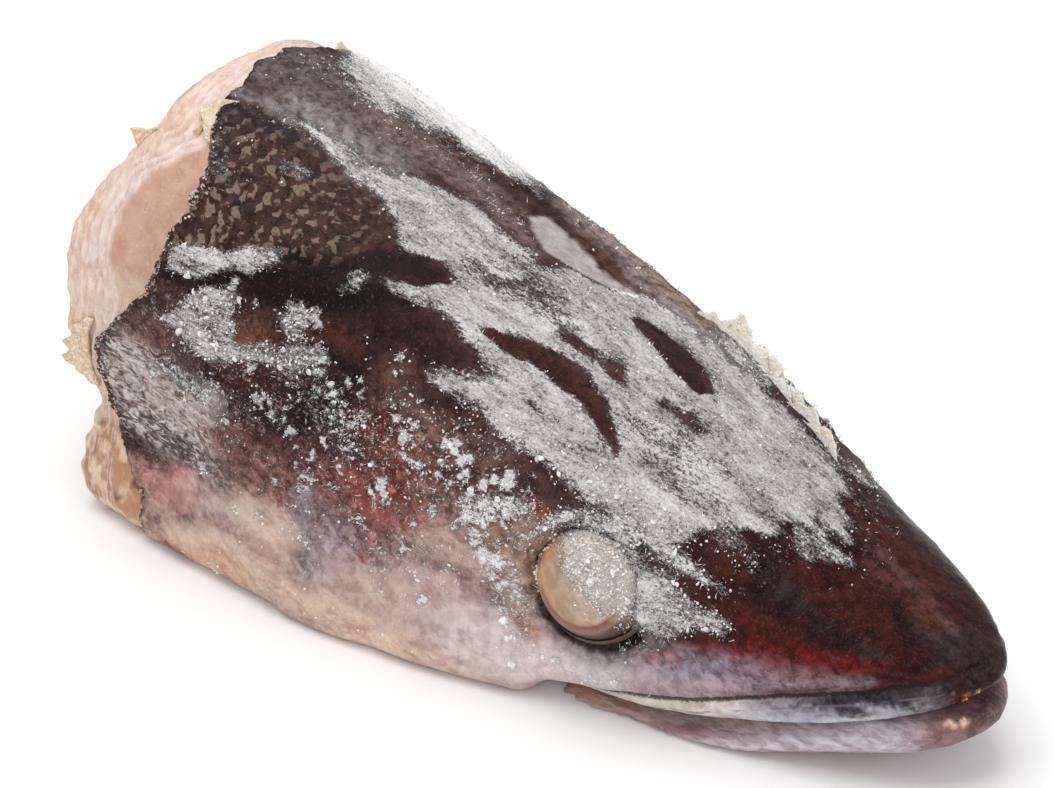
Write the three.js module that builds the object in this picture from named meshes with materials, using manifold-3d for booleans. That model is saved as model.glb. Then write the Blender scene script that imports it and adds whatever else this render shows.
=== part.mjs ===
// A frozen hake head, cut off behind the gill covers and lying on its throat.
//
// Millimetres, +Z up, +X towards the snout, -Y the fish's right side. The head stands on z = 0, and the
// origin is the middle of its footprint box.
//
// Stations are distances back from the snout tip. Every cross-section is a closed ring of two half
// superellipses, an upper one over the height of greatest width and a lower one under it, and the
// bones, hollows, lips and the bared nape flesh are relief worked on those rings.

import * as THREE from "three";
import { mergeVertices } from "three/addons/utils/BufferGeometryUtils.js";
import Module from "manifold-3d";

// ---- Driving dimensions -------------------------------------------------------------------------

const SKIN_LENGTH = 214; // snout tip to the ragged edge where the skin was cut, along the back
const CUT_STATION = 243; // where the rim of the bared nape flesh ends
const FACE_MIDDLE = 50; // height the cut face is drawn in towards
const BACKBONE_HEIGHT = 66;
const BACKBONE_RADIUS = 8;
const THROAT_HEIGHT = 30;
const THROAT_DEPTH = 7;
const FACE_ROUND = 7; // rounding between the flesh's side and the cut face
const SKIN_THICKNESS = 1.3;
const REST_SINK = 4; // the throat is pressed flat by this much where it lies

const NOSE_ROUND = 24; // length over which the snout rounds off, seen from above
const NOSE_BLUNT = 13; // and seen from the side
const NOSE_HEIGHT = 26.5; // height of the snout tip over the table

const JAW_TIP = -0.5; // the lower jaw's tip stands a little in front of the upper one
const JAW_END = 96; // station where the lower jaw dies out under the cheek
const THROAT_START = JAW_END + 0.5;
const THROAT_STEP = 4; // length over which the throat comes down to the table behind the jaw
const JAW_NOSE_ROUND = 15;
const JAW_NOSE_HEIGHT = 17;
const JAW_INSET = 1.4; // the lower jaw lies inside the upper lip by this much
const JAW_HOLLOW = 3; // depth of the hollow between its two branches, seen from below
const MOUTH_GAP = 0.5;

const EYE_STATION = 84;
const EYE_HEIGHT = 34;
const EYE_RADIUS = 15.5;
const EYE_DEPTH = 9; // half thickness of the eyeball, which is flatter than a ball
const EYE_STANDS_OUT = 4.5;
const EYE_GAP = 0.4;

const HEAD_COLUMNS = 64;
const JAW_COLUMNS = 36;
const RING_SPACING = 4.2;

// Outlines, each as [station, size] and smoothed between.
const HALF_WIDTH = outline([
  [0, 15], [16, 20.5], [40, 28.5], [70, 36.5], [100, 43], [140, 49], [180, 51], [214, 50], [250, 48],
]);
const TOP_LINE = outline([
  [0, 29.5], [16, 33.5], [40, 44.5], [70, 58], [100, 72], [130, 83.5], [165, 95.5], [200, 109], [214, 112.5],
  [250, 112],
]);
const WIDEST_HEIGHT = outline([[0, 29], [30, 28], [70, 28], [110, 33], [150, 42], [190, 46], [250, 48]]);
const MOUTH_LINE = outline([[0, 23], [10, 19.5], [30, 13], [54, 7], [72, 4], [JAW_END, 3]]);
const LIP_GROOVE = outline([[0, 30], [15, 27], [36, 20.5], [57, 13], [80, 7], [100, 5]]);
const JAW_BOTTOM = outline([[-2, 10], [15, 6], [35, 1.5], [60, -REST_SINK], [250, -REST_SINK]]);
const TOP_SQUARENESS = outline([[0, 2.5], [60, 2.6], [110, 2.4], [160, 2.2], [250, 2.1]]);
const FLANK_SQUARENESS = outline([[0, 4], [40, 6], [100, 7], [180, 6], [250, 5]]);

// The skin's cut edge and the rim of the flesh, as [degrees down from the back, station].
const SKIN_EDGE = outline([
  [0, SKIN_LENGTH], [18, 210], [35, 206], [50, 206], [62, 211], [76, 220], [90, 228], [103, 223],
  [112, 221], [124, 223], [140, 217], [180, 211],
]);
const FLESH_RIM = outline([
  [0, 224], [25, 227], [45, 236], [62, CUT_STATION], [94, CUT_STATION], [104, 236], [112, 232],
  [121, 236], [130, 239], [142, 236], [155, 232], [180, 227],
]);
// The cut face inside that rim, as [height, station].
const CUT_FACE = outline([[0, 228], [20, 238], [45, 247], [72, 248], [95, 240], [112, 228]]);
// The free rear edge of the gill cover, as [height, station].
const GILL_EDGE = outline([[0, 162], [8, 169], [20, 181], [40, 191], [58, 195], [80, 190]]);
const CHEEK_EDGE = outline([[0, 136], [14, 140], [30, 147], [60, 152], [80, 146]]);

// ---- Small helpers ------------------------------------------------------------------------------

// A smooth curve through [x, y] points that never overshoots them.
function outline(points) {
  const last = points.length - 1;
  const rise = (i) => (points[i + 1][1] - points[i][1]) / (points[i + 1][0] - points[i][0]);
  const slope = points.map((point, i) => {
    if (i === 0) return rise(0);
    if (i === last) return rise(last - 1);
    const before = rise(i - 1);
    const after = rise(i);
    return before * after > 0 ? (2 * before * after) / (before + after) : 0;
  });
  return (x) => {
    let i = 0;
    while (i < last - 1 && x > points[i + 1][0]) i += 1;
    const span = points[i + 1][0] - points[i][0];
    const t = clamp((x - points[i][0]) / span);
    const bend = span * (slope[i] * t * (1 - t) ** 2 - slope[i + 1] * t * t * (1 - t));
    return mix(points[i][1], points[i + 1][1], t * t * (3 - 2 * t)) + bend;
  };
}

function clamp(t) {
  return Math.max(0, Math.min(1, t));
}

function mix(a, b, t) {
  return a + (b - a) * t;
}

function ease(from, to, x) {
  const t = clamp((x - from) / (to - from));
  return t * t * (3 - 2 * t);
}

function bump(x, centre, spread) {
  return Math.exp(-(((x - centre) / spread) ** 2));
}

// Rounding of an end: 0 at the very tip, 1 a rounding length further back.
function noseRound(distance, length) {
  return distance < length ? Math.sqrt(1 - (1 - distance / length) ** 2) : 1;
}

// ---- Cross-sections -----------------------------------------------------------------------------

// A point on a ring of two half superellipses; angle 0 is straight up, +90 degrees the left side.
function ringPoint(angle, halfWidth, top, middle, bottom, topPower, lowPower) {
  const side = Math.sin(angle);
  const up = Math.cos(angle);
  const reach = up > 0 ? top - middle : middle - bottom;
  const power = up > 0 ? topPower : lowPower;
  const radius = (Math.abs(side / halfWidth) ** power + Math.abs(up / reach) ** power) ** (-1 / power);
  return { side: side * radius, height: middle + up * radius };
}

// Lowest line of the upper head: the mouth line over the lower jaw, the flattened throat behind it.
function headBottom(station) {
  const mouth = MOUTH_LINE(station) + MOUTH_GAP / 2;
  return mix(mouth, -REST_SINK, ease(THROAT_START, THROAT_START + THROAT_STEP, station));
}

// Relief of skin and bone, in millimetres outward.
function relief(station, side, height) {
  const out = Math.abs(side);
  const roof = ease(0.5, 0.8, (height - WIDEST_HEIGHT(station)) / (TOP_LINE(station) - WIDEST_HEIGHT(station)));
  const flank = (1 - roof) * ease(0.5, 4, height - headBottom(station));
  const fromEye = Math.hypot(station - EYE_STATION, height - EYE_HEIGHT);

  const midRidge = 1.3 * bump(out, 0, 6) * ease(30, 60, station) * (1 - ease(170, 210, station));
  const roofTrough = -2.4 * bump(out, 13, 5) * bump(station, 112, 26);
  const roofRidge = 1.6 * bump(out, 26, 5) * bump(station, 120, 40);
  const temple = -2.2 * bump(station, 146, 20) * bump(height, 76, 8);
  const brow = 3 * bump(fromEye, EYE_RADIUS + 6, 6) * ease(-4, 10, height - EYE_HEIGHT);
  const socket = -2 * bump(fromEye, EYE_RADIUS + 2, 5);
  const lip = -1.5 * bump(height, LIP_GROOVE(station), 3) * ease(3, 14, station) * (1 - ease(82, 98, station));
  const cheek = 2.4 * bump(station, 122, 18) * bump(height, 44, 17);
  const cheekGroove = -1.6 * bump(station, CHEEK_EDGE(height), 4) * (1 - ease(58, 72, height));
  const gillCover = 1.8 * bump(station, 175, 17) * bump(height, 40, 20);
  const gillStep = -2 * ease(-3, 4, station - GILL_EDGE(height)) * (1 - ease(60, 78, height));
  const lowerFlare = 6 * (1 - ease(4, 30, height)) * ease(80, 160, station);
  const lipRoll = 1 * bump(height, MOUTH_LINE(station) + 4, 4) * ease(4, 20, station);
  return roof * (midRidge + roofTrough + roofRidge)
    + flank * (temple + brow + socket + lip + lipRoll + cheek + cheekGroove + gillCover + gillStep + lowerFlare);
}

function headPoint(angle, station, sink) {
  const plain = ringPoint(
    angle, HALF_WIDTH(station), TOP_LINE(station), WIDEST_HEIGHT(station), headBottom(station),
    TOP_SQUARENESS(station), FLANK_SQUARENESS(station),
  );
  const outward = relief(station, plain.side, plain.height) - sink;
  const side = (plain.side + Math.sin(angle) * outward) * noseRound(station, NOSE_ROUND);
  const height = mix(NOSE_HEIGHT, plain.height + Math.cos(angle) * outward, noseRound(station, NOSE_BLUNT));
  return new THREE.Vector3(-station, side, Math.max(0, height));
}

// Station of the cut face away from its rim: a leaning cut with the backbone standing out a little
// and the throat opening sunk below it.
function faceStation(side, height) {
  const fromBone = Math.hypot(side, height - BACKBONE_HEIGHT);
  const backbone = 2.2 * bump(fromBone, BACKBONE_RADIUS * 0.8, 4) - 1.5 * bump(fromBone, 0, 4);
  const throat = -THROAT_DEPTH * bump(side, 0, 17) * bump(height, THROAT_HEIGHT, 11);
  return CUT_FACE(height) + backbone + throat;
}

// ---- Lofting ------------------------------------------------------------------------------------

function degreesFromBack(angle) {
  const turned = THREE.MathUtils.radToDeg(angle);
  return turned > 180 ? 360 - turned : turned;
}

function angles(columns) {
  return Array.from({ length: columns }, (_, i) => (i / columns) * 2 * Math.PI);
}

// Evenly spaced stations from one end to the other, about a spacing apart.
function spread(from, to, spacing) {
  const steps = Math.round((to - from) / spacing);
  return Array.from({ length: steps + 1 }, (_, i) => mix(from, to, i / steps));
}

// Closes rings of equal length into one skin, with a single point at either end.
function loft(frontPoint, rings, backPoint) {
  const columns = rings[0].length;
  const points = [frontPoint, ...rings.flat(), backPoint];
  const last = points.length - 1;
  const index = [];
  const at = (ring, column) => 1 + ring * columns + (column % columns);
  for (let column = 0; column < columns; column += 1) {
    index.push(0, at(0, column + 1), at(0, column));
    index.push(last, at(rings.length - 1, column), at(rings.length - 1, column + 1));
    for (let ring = 0; ring < rings.length - 1; ring += 1) {
      const [a, b] = [at(ring, column), at(ring, column + 1)];
      const [c, d] = [at(ring + 1, column), at(ring + 1, column + 1)];
      const falling = points[a].distanceTo(points[d]) < points[b].distanceTo(points[c]);
      index.push(...(falling ? [a, d, c, a, b, d] : [a, b, c, b, d, c]));
    }
  }
  const geometry = new THREE.BufferGeometry();
  geometry.setAttribute("position", new THREE.Float32BufferAttribute(points.flatMap((p) => p.toArray()), 3));
  geometry.setIndex(index);
  return geometry;
}

function buildHead() {
  const rings = [];
  const around = angles(HEAD_COLUMNS);

  // Snout, bunched towards the tip.
  for (const turn of [0.2, 0.36, 0.52, 0.68, 0.84]) {
    const station = NOSE_ROUND * (1 - Math.cos((turn * Math.PI) / 2));
    rings.push(around.map((angle) => headPoint(angle, station, 0)));
  }

  // Skull, cheeks and gill covers: rings that lean back until the last one follows the skin's edge.
  const jawStations = spread(NOSE_ROUND, THROAT_START, RING_SPACING);
  const rearStations = spread(THROAT_START + THROAT_STEP, SKIN_LENGTH, RING_SPACING);
  for (const station of [...jawStations, ...rearStations]) {
    const leaning = ease(THROAT_START + THROAT_STEP, SKIN_LENGTH, station);
    rings.push(around.map((angle) => {
      const lean = (SKIN_EDGE(degreesFromBack(angle)) - SKIN_LENGTH) * leaning;
      return headPoint(angle, station + lean, 0);
    }));
  }

  // Bared flesh: a step in at the skin's edge, its side, the rounded rim and the cut face.
  const fleshRing = (back, rounding, shrink) => rings.push(around.map((angle) => {
    const turned = degreesFromBack(angle);
    const side = mix(SKIN_EDGE(turned), FLESH_RIM(turned) - FACE_ROUND, back);
    const point = headPoint(angle, side + FACE_ROUND * rounding, SKIN_THICKNESS);
    point.y *= shrink;
    point.z = mix(FACE_MIDDLE, point.z, shrink);
    point.x = mix(-faceStation(point.y, point.z), point.x, ease(0.5, 0.88, shrink));
    return point;
  }));
  fleshRing(0.1, 0, 1);
  fleshRing(0.5, 0, 1);
  for (const turn of [0, 0.33, 0.67, 1]) {
    const lift = (turn * Math.PI) / 2;
    fleshRing(1, Math.sin(lift), 1 - 0.12 * (1 - Math.cos(lift)));
  }
  for (const shrink of [0.78, 0.67, 0.56, 0.45, 0.34, 0.23, 0.11]) {
    fleshRing(1, 1, shrink);
  }

  const nose = new THREE.Vector3(0, 0, NOSE_HEIGHT);
  return loft(nose, rings, new THREE.Vector3(-faceStation(0, FACE_MIDDLE), 0, FACE_MIDDLE));
}

function buildLowerJaw() {
  const rings = [];
  const around = angles(JAW_COLUMNS);
  const jawPoint = (angle, station) => {
    const top = MOUTH_LINE(station) - MOUTH_GAP / 2;
    const bottom = JAW_BOTTOM(station);
    const middle = mix(bottom, top, 0.7);
    const tuck = 3 * ease(JAW_END - 12, JAW_END, station);
    const width = HALF_WIDTH(station) + 2 * ease(30, 70, station) - tuck - JAW_INSET;
    const point = ringPoint(angle, width, top, middle, bottom, 6, mix(2.4, 6, ease(10, 80, station)));
    const under = ease(0, 0.5, (middle - point.height) / (middle - bottom));
    const hollow = JAW_HOLLOW * under * bump(point.side, 0, width / 2.4) * bump(station, 48, 26);
    const nose = noseRound(station - JAW_TIP, JAW_NOSE_ROUND);
    const height = mix(JAW_NOSE_HEIGHT, point.height + hollow, nose);
    return new THREE.Vector3(-station, point.side * nose, Math.max(0, Math.min(top, height)));
  };
  for (const turn of [0.22, 0.42, 0.62, 0.82]) {
    const station = JAW_TIP + JAW_NOSE_ROUND * (1 - Math.cos((turn * Math.PI) / 2));
    rings.push(around.map((angle) => jawPoint(angle, station)));
  }
  for (const station of spread(JAW_TIP + JAW_NOSE_ROUND, JAW_END, RING_SPACING)) {
    rings.push(around.map((angle) => jawPoint(angle, station)));
  }
  return loft(
    new THREE.Vector3(-JAW_TIP, 0, JAW_NOSE_HEIGHT), rings, new THREE.Vector3(-JAW_END, 0, 1.2),
  );
}

// A flat-backed lens of an eye, facing outward, a little forward and a little up.
function buildEye(sign, grow) {
  const geometry = new THREE.SphereGeometry(1, 28, 14);
  geometry.deleteAttribute("uv");
  geometry.deleteAttribute("normal");
  geometry.rotateX(Math.PI / 2);
  geometry.scale(EYE_RADIUS + grow, EYE_DEPTH + grow, EYE_RADIUS + grow);
  geometry.rotateX(sign * THREE.MathUtils.degToRad(9));
  geometry.rotateZ(-sign * THREE.MathUtils.degToRad(11));
  const out = HALF_WIDTH(EYE_STATION) + EYE_STANDS_OUT - EYE_DEPTH;
  geometry.translate(-EYE_STATION, sign * out, EYE_HEIGHT);
  return mergeVertices(geometry, 1e-4);
}

// ---- Joining and cutting ------------------------------------------------------------------------

const manifold = await Module();
manifold.setup();
const { Manifold, Mesh } = manifold;

function toSolid(geometry) {
  const mesh = new Mesh({
    numProp: 3,
    vertProperties: new Float32Array(geometry.attributes.position.array),
    triVerts: new Uint32Array(geometry.index.array),
  });
  mesh.merge();
  return new Manifold(mesh);
}

function toGeometry(solid) {
  const mesh = solid.getMesh();
  const geometry = new THREE.BufferGeometry();
  geometry.setAttribute("position", new THREE.Float32BufferAttribute(mesh.vertProperties, 3));
  geometry.setIndex(Array.from(mesh.triVerts));
  return geometry;
}

// ---- The model ----------------------------------------------------------------------------------

const model = new THREE.Group();

function addMesh(name, geometry, color, roughness) {
  const material = new THREE.MeshStandardMaterial({ color, roughness, metalness: 0 });
  const mesh = new THREE.Mesh(geometry, material);
  mesh.name = name;
  model.add(mesh);
}

const sockets = Manifold.union([toSolid(buildEye(-1, EYE_GAP)), toSolid(buildEye(1, EYE_GAP))]);
const geometries = {
  head: toGeometry(toSolid(buildHead()).subtract(sockets)),
  lower_jaw: toGeometry(toSolid(buildLowerJaw())),
  eye_right: toGeometry(toSolid(buildEye(-1, 0))),
  eye_left: toGeometry(toSolid(buildEye(1, 0))),
};

// Centre the footprint on the origin.
const box = new THREE.Box3();
for (const geometry of Object.values(geometries)) {
  geometry.computeBoundingBox();
  box.union(geometry.boundingBox);
}
for (const geometry of Object.values(geometries)) {
  geometry.translate(-(box.min.x + box.max.x) / 2, 0, 0);
  geometry.computeVertexNormals();
}

addMesh("head", geometries.head, "#5a4a45", 0.5);
addMesh("lower_jaw", geometries.lower_jaw, "#b39a9c", 0.45);
addMesh("eye_right", geometries.eye_right, "#c9b9a0", 0.35);
addMesh("eye_left", geometries.eye_left, "#c9b9a0", 0.35);

export default model;
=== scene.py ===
"""A frozen hake head on a pale table, dressed over its solid model.

Surface places are given as (station, degrees): millimetres back from the snout tip, and degrees
round the head from the middle of the back, negative on the fish's right side.
"""

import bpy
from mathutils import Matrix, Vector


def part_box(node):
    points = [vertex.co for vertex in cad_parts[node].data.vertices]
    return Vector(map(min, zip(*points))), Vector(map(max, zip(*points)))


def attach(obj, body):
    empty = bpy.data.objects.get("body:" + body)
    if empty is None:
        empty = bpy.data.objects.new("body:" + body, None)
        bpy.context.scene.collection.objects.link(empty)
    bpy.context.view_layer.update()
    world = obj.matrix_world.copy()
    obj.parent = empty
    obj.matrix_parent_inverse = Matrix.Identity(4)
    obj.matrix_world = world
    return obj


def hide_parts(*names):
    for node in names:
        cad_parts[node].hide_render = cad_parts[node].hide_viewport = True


bl_info = {
    "name": "Frozen hake head",
    "version": (1, 0, 0),
    "blender": (4, 5, 0),
    "location": "3D View > Sidebar > Hake head",
    "description": "Builds the skin, flesh, eyes, jaws and frost of a frozen hake head",
    "category": "Object",
}

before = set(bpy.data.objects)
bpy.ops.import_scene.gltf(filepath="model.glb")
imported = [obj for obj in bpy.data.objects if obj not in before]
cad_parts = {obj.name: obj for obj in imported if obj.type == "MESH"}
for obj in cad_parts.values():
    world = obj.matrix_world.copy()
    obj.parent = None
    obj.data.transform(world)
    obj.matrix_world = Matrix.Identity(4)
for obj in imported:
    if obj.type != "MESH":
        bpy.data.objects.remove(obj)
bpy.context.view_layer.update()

import math

import bmesh
import bpy
import numpy as np
from bpy.props import FloatProperty, FloatVectorProperty, IntProperty, PointerProperty
from mathutils import Matrix, Vector
from mathutils.bvhtree import BVHTree

MM = 0.001
PHOTO_WIDTH = 1054
TRACE_SPACING = 1.6  # between the points of a traced stroke, mm
FLANK_DEGREES = 42  # marks that reach further down than this lie on a flank
REST_HEIGHT = 0.6  # skin lower than this rests on the table, mm
LINE_REACH = 16.0  # span of the distances that the layer "lines" holds, mm
EYE_REACH = 15  # radius of an eye, mm
WET_IOR = 1.38  # wet skin and flesh
ICE_IOR = 1.31
SNOUT_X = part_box("head")[1].x / MM

# ---- Small helpers ------------------------------------------------------------------------------


def linear(code):
    """An sRGB hex colour as linear RGBA."""
    parts = [int(code[i:i + 2], 16) / 255 for i in (1, 3, 5)]
    return tuple(c / 12.92 if c <= 0.04045 else ((c + 0.055) / 1.055) ** 2.4 for c in parts) + (1.0,)


def rgb(code):
    return np.array(linear(code)[:3])


def ease(low, high, value):
    t = np.clip((value - low) / (high - low), 0, 1)
    return t * t * (3 - 2 * t)


def bump(value, centre, spread):
    return np.exp(-(((value - centre) / spread) ** 2))


def mix(a, b, t):
    return a + (b - a) * t


def hashed(cells, seed):
    """A fixed pseudo-random number from 0 to 1 for every whole-number cell."""
    mixed = cells[..., 0] * 374761393 + cells[..., 1] * 668265263 + cells[..., 2] * 2147483647
    mixed = (mixed + seed * 974634777) & 0x7FFFFFFF
    mixed = ((mixed ^ (mixed >> 13)) * 1274126177) & 0x7FFFFFFF
    mixed = ((mixed ^ (mixed >> 16)) * 668265263) & 0x7FFFFFFF
    return (mixed ^ (mixed >> 15)) / 0x7FFFFFFF


def lumps(points, size, seed, octaves=3):
    """A smooth random field from about -1 to 1, its largest lumps about size millimetres."""
    total = np.zeros(len(points))
    weight, scale = 0.0, 1.0
    for octave in range(octaves):
        spot = points / (size * scale) + 31.7 * octave
        cell = np.floor(spot).astype(np.int64)
        part = spot - cell
        part = part * part * (3 - 2 * part)
        value = np.zeros(len(points))
        for corner in range(8):
            step = np.array([corner & 1, (corner >> 1) & 1, corner >> 2])
            share = np.prod(np.where(step, part, 1 - part), axis=1)
            value += share * hashed(cell + step, seed + octave)
        total += (value * 2 - 1) * scale
        weight += scale
        scale *= 0.5
    return total / weight * 1.6


def middle_height(station):
    """Height of the greatest width, from which degrees are counted."""
    return np.interp(station, (0, 30, 70, 110, 150, 190, 250), (29, 28, 28, 33, 42, 46, 48))


def head_places(points):
    """Station and degrees of points in millimetres."""
    station = SNOUT_X - points[:, 0]
    degrees = np.degrees(np.arctan2(points[:, 1], points[:, 2] - middle_height(station)))
    return station, degrees


# ---- Meshes -------------------------------------------------------------------------------------


def add_piece(name, mesh, replaced=()):
    """Links a finished mesh as a piece of the head."""
    piece = bpy.data.objects.new(name, mesh)
    mesh.name = name
    bpy.context.scene.collection.objects.link(piece)
    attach(piece, "root")
    if replaced:
        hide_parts(*replaced)
    return piece


def fine_copy(node, voxel, rounds):
    """An even, smooth quad mesh of a CAD node, in metres."""
    source = bmesh.new()
    source.from_mesh(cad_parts[node].data)
    bmesh.ops.remove_doubles(source, verts=source.verts, dist=0.002 * MM)
    bmesh.ops.dissolve_degenerate(source, edges=source.edges, dist=0.02 * MM)
    mesh = bpy.data.meshes.new(node + "_base")
    source.to_mesh(mesh)
    source.free()
    rough = bpy.data.objects.new(node + "_base", mesh)
    bpy.context.scene.collection.objects.link(rough)
    round_off = rough.modifiers.new("round", "SUBSURF")
    round_off.levels = round_off.render_levels = 2
    even = rough.modifiers.new("even", "REMESH")
    even.mode = "VOXEL"
    even.voxel_size = voxel * MM
    relax = rough.modifiers.new("relax", "SMOOTH")
    relax.factor = 0.5
    relax.iterations = rounds
    seen = rough.evaluated_get(bpy.context.evaluated_depsgraph_get())
    result = bpy.data.meshes.new_from_object(seen)
    bpy.data.objects.remove(rough)
    bpy.data.meshes.remove(mesh)
    return result


def read_points(mesh):
    points = np.zeros(len(mesh.vertices) * 3)
    mesh.vertices.foreach_get("co", points)
    return points.reshape(-1, 3) / MM


def read_normals(mesh):
    normals = np.zeros(len(mesh.vertices) * 3, np.float32)
    mesh.vertex_normals.foreach_get("vector", normals)
    return normals.reshape(-1, 3).astype(float)


def write_points(mesh, points):
    mesh.vertices.foreach_set("co", (points * MM).astype(np.float32).ravel())
    mesh.update()


def write_layer(mesh, name, columns):
    """Stores up to four masks, or a colour, as one vertex attribute."""
    layer = mesh.color_attributes.new(name, "FLOAT_COLOR", "POINT")
    values = np.ones((len(mesh.vertices), 4), np.float32)
    for i, column in enumerate(columns):
        values[:, i] = column
    layer.data.foreach_set("color", values.ravel())


def shade_smooth(mesh):
    mesh.polygons.foreach_set("use_smooth", [True] * len(mesh.polygons))


# ---- Places on the head -------------------------------------------------------------------------


class Surface:
    """Finds points of the head's skin by station and degrees."""

    def __init__(self, mesh):
        corners = [v.co for v in mesh.vertices]
        self.tree = BVHTree.FromPolygons(corners, [p.vertices for p in mesh.polygons])

    def find(self, station, degrees):
        """Point in millimetres and outward normal."""
        turn = math.radians(degrees)
        out = Vector((0, math.sin(turn), math.cos(turn)))
        axis = Vector((SNOUT_X - station, 0, float(middle_height(station)))) * MM
        spot, normal, _, _ = self.tree.ray_cast(axis + out * 0.2, -out)
        if spot is None:
            spot, normal, _, _ = self.tree.find_nearest(axis + out * 0.02)
        return np.array(spot) / MM, np.array(normal)

    def trace(self, marks):
        """Points with radii along a stroke that follows the skin between (station, degrees, radius)."""
        marks = np.array(marks, float)
        if len(marks) == 1:
            return np.array([[*self.find(*marks[0, :2])[0], marks[0, 2]]])
        rows = []
        for start, end in zip(marks[:-1], marks[1:]):
            span = math.hypot(end[0] - start[0], (end[1] - start[1]) * 0.8)
            steps = max(1, int(span / max(TRACE_SPACING, 0.3 * min(start[2], end[2]))))
            for i in range(steps + (end is marks[-1])):
                station, degrees, radius = mix(start, end, i / steps)
                rows.append([*self.find(station, degrees)[0], radius])
        return np.array(rows)


def stroke(points, traced, soft, ragged, seed):
    """Cover from 0 to 1 of a traced stroke over points: soft and ragged are in millimetres."""
    low = traced[:, :3].min(0) - traced[:, 3].max() - soft - ragged * 2
    high = traced[:, :3].max(0) + traced[:, 3].max() + soft + ragged * 2
    near = np.flatnonzero(((points > low) & (points < high)).all(1))
    cover = np.zeros(len(points))
    if not len(near):
        return cover
    spots = points[near]
    gap = np.full(len(near), 1e9)
    for x, y, z, radius in traced:
        gap = np.minimum(gap, np.sqrt(((spots - (x, y, z)) ** 2).sum(1)) - radius)
    if ragged:
        gap += ragged * lumps(spots * (0.45, 1, 1), ragged * 1.8 + 1.0, seed, 3)
    cover[near] = ease(soft, -soft, gap)
    return cover


def region(points, outline, soft, ragged, seed):
    """Cover from 0 to 1 inside a closed outline of (station, degrees), soft and ragged in millimetres."""
    station, degrees = head_places(points)
    scale = np.hypot(points[:, 1], points[:, 2] - middle_height(station)) * math.pi / 180
    inside = np.zeros(len(points), bool)
    gap = np.full(len(points), 1e9)
    for (s0, d0), (s1, d1) in zip(outline, outline[1:] + outline[:1]):
        run, rise = s1 - s0, (d1 - d0) * scale
        along = (
            ((station - s0) * run + (degrees - d0) * scale * rise)
            / np.maximum(run * run + rise * rise, 1e-06))
        along = np.clip(along, 0, 1)
        gap = np.minimum(gap, np.hypot(station - s0 - run * along, (degrees - d0) * scale - rise * along))
        crossing = (d0 > degrees) != (d1 > degrees)
        where = s0 + (degrees - d0) * run / (d1 - d0 if d1 != d0 else 1)
        inside ^= crossing & (station < where)
    gap = np.where(inside, -gap, gap)
    gap += ragged * lumps(points * (0.5, 1, 1), ragged * 1.6 + 1.0, seed, 4)
    return ease(soft, -soft, gap)


def mirrored(marks):
    return [(mark[0], -mark[1], *mark[2:]) for mark in marks]


# ---- Nodes --------------------------------------------------------------------------------------


# Settings that many nodes share.
SMOOTH = {"interpolation_type": "SMOOTHSTEP"}
COLOURS = {"data_type": "RGBA"}
TINT = {"data_type": "RGBA", "blend_type": "MULTIPLY"}


def add(tree, kind, inputs=(), **settings):
    """Adds one node. Its inputs come by name or number, or as a list in the order of those in use,
    and are values, sockets or nodes whose first result is linked in."""
    made = tree.nodes.new("ShaderNode" + kind)
    for key, value in settings.items():
        setattr(made, key, value)
    if isinstance(inputs, list):
        pairs = zip([socket for socket in made.inputs if socket.enabled], inputs)
    else:
        pairs = [(made.inputs[key], value) for key, value in dict(inputs).items()]
    for socket, value in pairs:
        if isinstance(value, bpy.types.Node):
            value = next(result for result in value.outputs if result.enabled)
        if isinstance(value, bpy.types.NodeSocket):
            tree.links.new(value, socket)
        else:
            socket.default_value = value
    return made


def new_material(name):
    material = bpy.data.materials.new(name)
    material.use_nodes = True
    material.node_tree.nodes.clear()
    return material, material.node_tree


def finish_material(tree, looks, relief=None, strength=1.0, distance=0.5):
    """Ends a material in one shader, its relief as a bump whose distance is in millimetres."""
    if relief is not None:
        bumps = {"Strength": strength, "Distance": distance * MM, "Height": relief}
        looks = {**looks, "Normal": add(tree, "Bump", bumps)}
    add(tree, "OutputMaterial", {"Surface": add(tree, "BsdfPrincipled", looks)})


def in_millimetres(tree, stretch=(1, 1, 1), turn=(0, 0, 0)):
    """Object coordinates in millimetres, stretched for grain that runs along the head."""
    place = add(tree, "TexCoord").outputs["Object"]
    scale = tuple(1 / (MM * s) for s in stretch)
    return add(tree, "Mapping", {"Vector": place, "Scale": scale, "Rotation": turn}).outputs[0]


def layer_parts(tree, name):
    """The four masks of a vertex attribute."""
    source = add(tree, "Attribute", attribute_name=name, attribute_type="GEOMETRY")
    parts = add(tree, "SeparateColor", {"Color": source.outputs["Color"]}).outputs
    return parts[0], parts[1], parts[2], source.outputs["Alpha"]


# ---- Painting the head --------------------------------------------------------------------------

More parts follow.
